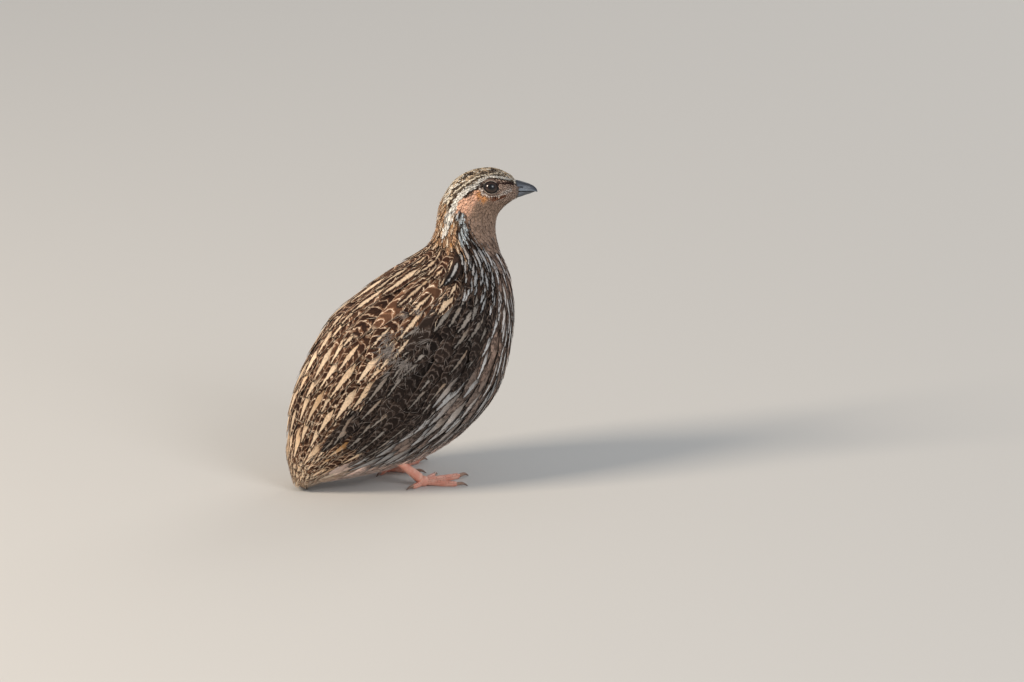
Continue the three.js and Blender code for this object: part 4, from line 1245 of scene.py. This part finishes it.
def ruffled():
    roots = []
    for u, v, tufts in RUFFLED:
        at, degrees = lifted(u, v)
        roots.append((
            rng.normal(at, 0.26, tufts), -np.radians(rng.normal(degrees, 5.0, tufts)),
            rng.uniform(-0.35, 0.35, tufts),
        ))
    a, r, turn = np.repeat(np.concatenate(roots, axis=1), PER_TUFT, axis=1)
    n = len(a)
    fan = rng.uniform(-1, 1, n)
    tone = rgb(168, 158, 151) * rng.uniform(0.5, 1.15, n)[:, None]
    where = loose(
        tone, 0.7, a=a + rng.normal(0, 0.04, n), r=r + rng.normal(0, 0.02, n),
        length=rng.uniform(3.2, 6.5, n) * (1.1 - 0.3 * np.abs(fan)), half=rng.uniform(0.08, 0.15, n),
        turn=turn + 0.5 * fan, bend=0.35 * fan + rng.normal(0, 0.12, n), root=0.0,
        tip=rng.uniform(0.35, 1.0, n), crown=0.03, thick=0.08, arch=0.12,
    )
    piece("ruffled_barbs", where, 7, 2, "wing_plumage")


def body_sides():
    roots = np.array(rows_of(11.6, 2.3, SIDE_GAP, 1.3, 58, 180, 140))
    deg = degrees_round(roots[1])
    keep = (deg > np.interp(roots[0], *SIDE_FROM)) & (deg < np.interp(roots[0], *SIDE_TO))
    a, r, gap, step = roots[:, keep]
    where = dressed("side", a, r, step, gap)
    piece("flank_feathers", part_of(where, a < 7.2), 16, 8, "body_plumage")
    piece("breast_feathers", part_of(where, a >= 7.2), 14, 6, "body_plumage")
    piece("side_barbs", wisps(where, 9, 0.05), 3, 2, "body_plumage")

    def on_belly(a, deg):
        return (deg > np.interp(a, *BELLY_FROM)) & (a < 7.6)

    a, r, gap = scatter(on_belly, BELLY_GAP, 1.2, 7.6, 60000)
    where = dressed("belly", a, r, gap, gap)
    where["streak"], where["edge"] = where["streak"] * 0.42, where["edge"] * 0.5
    piece("belly_feathers", where, 9, 4, "body_plumage")
    piece("belly_barbs", wisps(where, 7, 0.25), 3, 2, "body_plumage")


def neck():
    def inside(a, deg):
        edge = np.where(a > 11.2, throat_bound(a) + 4, 181)
        return (a > 9.4) & (a < 14.2) & (deg < edge) & ((a > 10.6) | (deg < 110))

    def closer(a, deg):
        far, _ = from_line(straight(a, -np.radians(deg)), "neck_patch")
        return 1 - 0.42 * (1 - smooth(far, 2.0, 3.5))

    a, r, gap = scatter(inside, NECK_GAP, 9.4, 14.2, 90000, closer)
    where = dressed("neck", a, r, gap, gap)
    # Below the plain throat the streaks begin fewer and duller.
    fore = smooth(np.abs(r), 1.8, 2.5) * smooth(a, 10.2, 11.3)
    plainer = (np.abs(r) > 1.1) & (a > 10.6) & (rng.random(len(a)) < 0.45 + 0.25 * fore)
    where["line"] += (where["web"] - where["line"]) * 0.5 * fore[:, None]
    streak = where["streak"] * np.interp(a, [10, 12, 14], [0.95, 0.6, 0.45])
    where["streak"] = np.minimum(np.where(plainer, 0, streak), gap * 0.22)
    piece("neck_feathers", where, 9, 6, "head_plumage")
    piece("neck_barbs", wisps(where, 3, 0.0, 0.55), 3, 2, "head_plumage")


def throat():
    def inside(a, deg):
        return (a > 11.2) & (a < 16.5) & (deg > throat_bound(a) - 4) & (deg > 84)

    a, r, gap = scatter(inside, THROAT_GAP, 11.2, 16.5, 120000)
    where = dressed("throat", a, r, gap, gap)
    for key in ("web", "dark", "bar"):
        where[key] = where[key] * 0.5 + where[key].mean(0) * 0.5
    where["streak"] = np.minimum(where["streak"], gap * 0.2) * (rng.random(len(a)) < 0.6)
    where["edge"] = np.minimum(where["edge"], gap * 0.12)
    where["line"] = where["line"] * 0.6 + where["web"] * 0.4
    piece("throat_feathers", where, 6, 4, "head_plumage")


def head():
    def inside(a, deg):
        _, _, oval = from_eye(a, np.radians(deg))
        off_throat = (deg < 100) | (a > 15.2) | (deg < throat_bound(a))
        return (a > 13.8) & (a < np.interp(deg, *FACE_END)) & (oval > 1.33) & off_throat

    a, r, gap = scatter(inside, HEAD_GAP, 13.8, LAST - 0.05, 200000)
    ahead, up, oval = from_eye(a, r)
    # Round the eye the feathers are short and lean away from the lids.
    near = 1 - smooth(oval, 1.4, 2.4)
    lean = np.clip(np.arctan2(up, -ahead) * near, -0.6, 0.6) * np.where(ahead > -0.5, 1.0, 0.4)
    root, tip = np.interp(a, *HEAD_ROOT), np.interp(a, *HEAD_TIP)
    where = dressed("head", a, r, gap * (1 - 0.45 * near), gap, lean=lean, root=root, tip=tip)
    capped = degrees_round(r) < 58
    where["bar"] = np.where(capped[:, None], rgb(214, 190, 158), where["bar"])
    where["fringe"] = np.where(capped, 0.65, where["fringe"])
    face = a > 16.2
    piece("head_feathers", part_of(where, ~face), 6, 4, "head_plumage")
    piece("head_barbs", wisps(part_of(where, ~face | (np.abs(r) < 0.9)), 2, 0.0, 0.35), 3, 2, "head_plumage")
    piece("face_feathers", part_of(where, face), 4, 2, "head_plumage")


# The plumage goes on past the rump's end in a cone of feathers, down to the tail's tip on the floor.
CONE = dict(start=1.3, end=-1.4, x=-50.4, z=1.0, across=5.0, along=1.7, high=0.5, hollow=1.2, lead=0.9)
TAIL = dict(count=11, spread=7.0, width=3.4, line=[(-53.4, 26), (-53.9, 18), (-53.0, 9), (-50.4, 0.8)])
COVERTS = dict(first=3.1, last=-0.35, step=0.62)
CONE_LENGTH = 16.0  # millimetres along a feather of the cone
CONE_ROUND = 3.2  # the least length that a radian counts for, so that feathers keep their width at the tip
CONE_BARBS = 1100
UNDERTAIL = dict(
    web=rgb(184, 160, 140), line=rgb(224, 212, 196), dark=rgb(132, 108, 92), bar=rgb(206, 188, 168)
)


def coned(v, r):
    """The outline's surface, with sections below CONE's start drawn along the cone."""
    start = np.full_like(v, CONE["start"])
    first = straight(start, r)
    control = first + (first - straight(start + 0.05, r)) / 0.05 * CONE["lead"]
    cos, sin = np.cos(r), np.sin(r)
    last = np.stack(
        [
            CONE["x"] - CONE["along"] * cos,
            CONE["across"] * sin,
            CONE["z"] + CONE["high"] * cos + CONE["hollow"] * sin**2,
        ],
        -1,
    )
    u = np.clip((CONE["start"] - v) / (CONE["start"] - CONE["end"]), 0, 1)[..., None]
    cone = (1 - u) ** 2 * first + 2 * u * (1 - u) * control + u**2 * last
    return np.where((v >= CONE["start"])[..., None], straight(np.maximum(v, CONE["start"]), r), cone)


def on_cone(v, end, r, turn):
    """A rule that places feathers along the cone, from v to end."""

    def place(reach, across, height):
        at = v[:, None] + (end - v)[:, None] * reach
        mid = 0 * at + r[:, None]
        _, _, per_radian = sloped(coned, at, mid, 0.03)
        angle = mid + (across + turn[:, None] * CONE_LENGTH * reach) / np.maximum(per_radian, CONE_ROUND)
        p = coned(at, angle) + sloped(coned, at, angle, 0.03)[0] * (height - settled(at, angle))[..., None]
        p[..., 2] = np.maximum(p[..., 2], 0.1)
        return in_row(p)

    return place


def tail():
    t_at, line = catmull(TAIL["line"])
    spread = np.linspace(-1, 1, TAIL["count"])

    def fan(reach, across, height):
        s = spread[:, None]
        x, z = np.interp(reach, t_at / t_at[-1], line[:, 0]), np.interp(reach, t_at / t_at[-1], line[:, 1])
        x = x + 1.2 * s**2 + height + 0.5 * np.abs(s)
        y = s * TAIL["spread"] * (1 - 0.35 * reach) + across
        return in_row(np.stack([x, y, np.maximum(z, 0.15)], -1))

    where = plain(
        TAIL["count"], "wing", half=TAIL["width"], crown=0.25, thick=0.25, point=0.3, patch=0.02, root=0.0,
        tip=0.0, tilt=0.12, a=np.full(TAIL["count"], 1.0), r=spread * 0.9,
    )
    piece("tail_feathers", where, 18, 6, "wing_plumage", ("tail",), fan)


def tail_coverts():
    """Coverts over the tail's back, its sides and under it, with loose barbs at their ends and sides."""
    found = []
    at, odd = COVERTS["first"], False
    angles = np.radians(np.linspace(0, 180, 181))
    while at > COVERTS["last"]:
        ring = np.diff(coned(np.full_like(angles, at), angles), axis=0)
        arc = np.concatenate([[0], np.cumsum(np.linalg.norm(ring, axis=1))])
        found += [(at, r) for r in ring_of(arc, angles, np.interp(at, *TAIL_GAP), odd) if abs(r) < math.pi]
        at -= COVERTS["step"]
        odd = not odd
    v, r = np.array(found).T
    keep = (degrees_round(r) < 118) | (v < 2.2)
    v, r = v[keep], r[keep]
    n = len(v)
    v = v + rng.uniform(-0.1, 0.1, n)
    r = r + rng.uniform(-0.06, 0.06, n)
    gap = np.interp(v, *TAIL_GAP)
    end = np.maximum(v - rng.uniform(2.2, 2.6, n), CONE["end"] + rng.uniform(0, 0.6, n))
    turn = rng.uniform(-0.06, 0.06, n)
    where = plain(
        n, "back", half=gap * 0.55, crown=0.35, thick=0.18, rag=0.1, point=rng.uniform(0.3, 0.7, n), bars=3.6,
        patch=0.02, root=-1.0, tip=0.3 + 0.12 * v, tilt=0.18, arch=0.3, rise=1.2, real=CONE_LENGTH,
        starts=0.3, a=np.clip(v, 0.3, None), r=r,
    )
    soft = smooth(degrees_round(r) + rng.uniform(-10, 10, n), 84, 112)
    for key, tone in UNDERTAIL.items():
        tone = tone * rng.uniform(0.88, 1.1, n)[:, None]
        where[key] = where[key] * (1 - soft[:, None]) + tone * soft[:, None]
    where["barred"] *= 1 - soft
    where["streak"] *= 1.1 * (rng.random(n) < 0.85 - 0.5 * soft)
    where["mottle"] *= 1 - 0.5 * soft
    piece("tail_coverts", where, 16, 8, "wing_plumage", (), on_cone(v, end, r, turn))
    count = CONE_BARBS
    k = rng.integers(0, n, count)
    from_v = v[k] + (end[k] - v[k]) * rng.uniform(0.4, 0.95, count)
    to_v = np.maximum(from_v - rng.uniform(0.25, 0.6, count), CONE["end"])
    per_radian = np.maximum(sloped(coned, from_v, r[k], 0.03)[2], CONE_ROUND)
    from_r = r[k] + rng.uniform(-1, 1, count) * gap[k] * 0.5 / per_radian
    tone = np.where(rng.random(count)[:, None] < 0.5, where["bar"][k], where["web"][k])
    tone = tone * (1 - 0.4 * soft[k][:, None]) + rgb(206, 192, 176) * 0.4 * soft[k][:, None]
    barbs = loose(
        tone, a=np.clip(from_v, 0.3, None), r=from_r, real=4.0, half=rng.uniform(0.1, 0.18, count), root=0.1,
        tip=rng.uniform(0.5, 1.0, count), crown=0.03, thick=0.08,
    )
    turn = rng.normal(0, 0.06, count)
    piece("tail_barbs", barbs, 4, 2, "wing_plumage", (), on_cone(from_v, to_v, from_r, turn))


# Lights: place in metres, size, power, colour
LIGHTS = {
    "key": ((-1.55, 0.0, 1.15), 0.6, 33, (1.0, 0.87, 0.72)),
    "fill": ((0.5, -1.8, 1.2), 0.9, 14, (0.95, 0.97, 1.0)),
    "front": ((1.4, 0.9, 0.9), 1.0, 7, (1.0, 0.98, 0.95)),
}
LIT = Vector((0, 0, 0.07))  # where they all point


def studio():
    bpy.ops.mesh.primitive_plane_add(size=16, location=(0, 0, 0))
    floor = bpy.context.object
    floor.name = "floor"
    g = Graph("floor")
    colour = g.mix(g.grain(900, 2), rgb(202, 199, 194), rgb(205, 202, 197))
    floor.data.materials.append(g.finish(colour, Roughness=0.85))
    world = bpy.data.worlds.new("studio")
    bpy.context.scene.world = world
    world.use_nodes = True
    world.node_tree.nodes["Background"].inputs[0].default_value = (0.86, 0.92, 1.0, 1)
    world.node_tree.nodes["Background"].inputs[1].default_value = 0.4
    for name, (place, size, power, colour) in LIGHTS.items():
        data = bpy.data.lights.new(name, "AREA")
        data.size, data.energy, data.color = size, power, colour
        light = bpy.data.objects.new(name, data)
        bpy.context.scene.collection.objects.link(light)
        light.location = place
        light.rotation_euler = (LIT - Vector(place)).to_track_quat("-Z", "Y").to_euler()
    bpy.context.scene.view_settings.view_transform = "Standard"


CAMERA_FAR, SENSOR = 6000.0, 36.0


def camera():
    data = bpy.data.cameras.new("view")
    data.sensor_width = SENSOR
    data.lens = SENSOR * CAMERA_FAR / (PICTURE[0] * PIXEL)
    data.clip_end = 50
    made = bpy.data.objects.new("view", data)
    bpy.context.scene.collection.objects.link(made)
    right, up = PICTURE[0] / 2 - ORIGIN_PX[0], ORIGIN_PX[1] - PICTURE[1] / 2
    middle = np.array([SHIFT_X, 0, 0]) + (SIDEWAYS * right + UPWARD * up) * PIXEL
    made.location = Vector((middle + TOWARD * CAMERA_FAR) * MM)
    made.rotation_euler = Vector(-TOWARD).to_track_quat("-Z", "Y").to_euler()
    bpy.context.scene.camera = made


for make in (
    body_skin, eyes, bill, feet, back_and_wings, ruffled, body_sides, neck, throat, head, tail, tail_coverts,
    studio, camera,
):
    make()
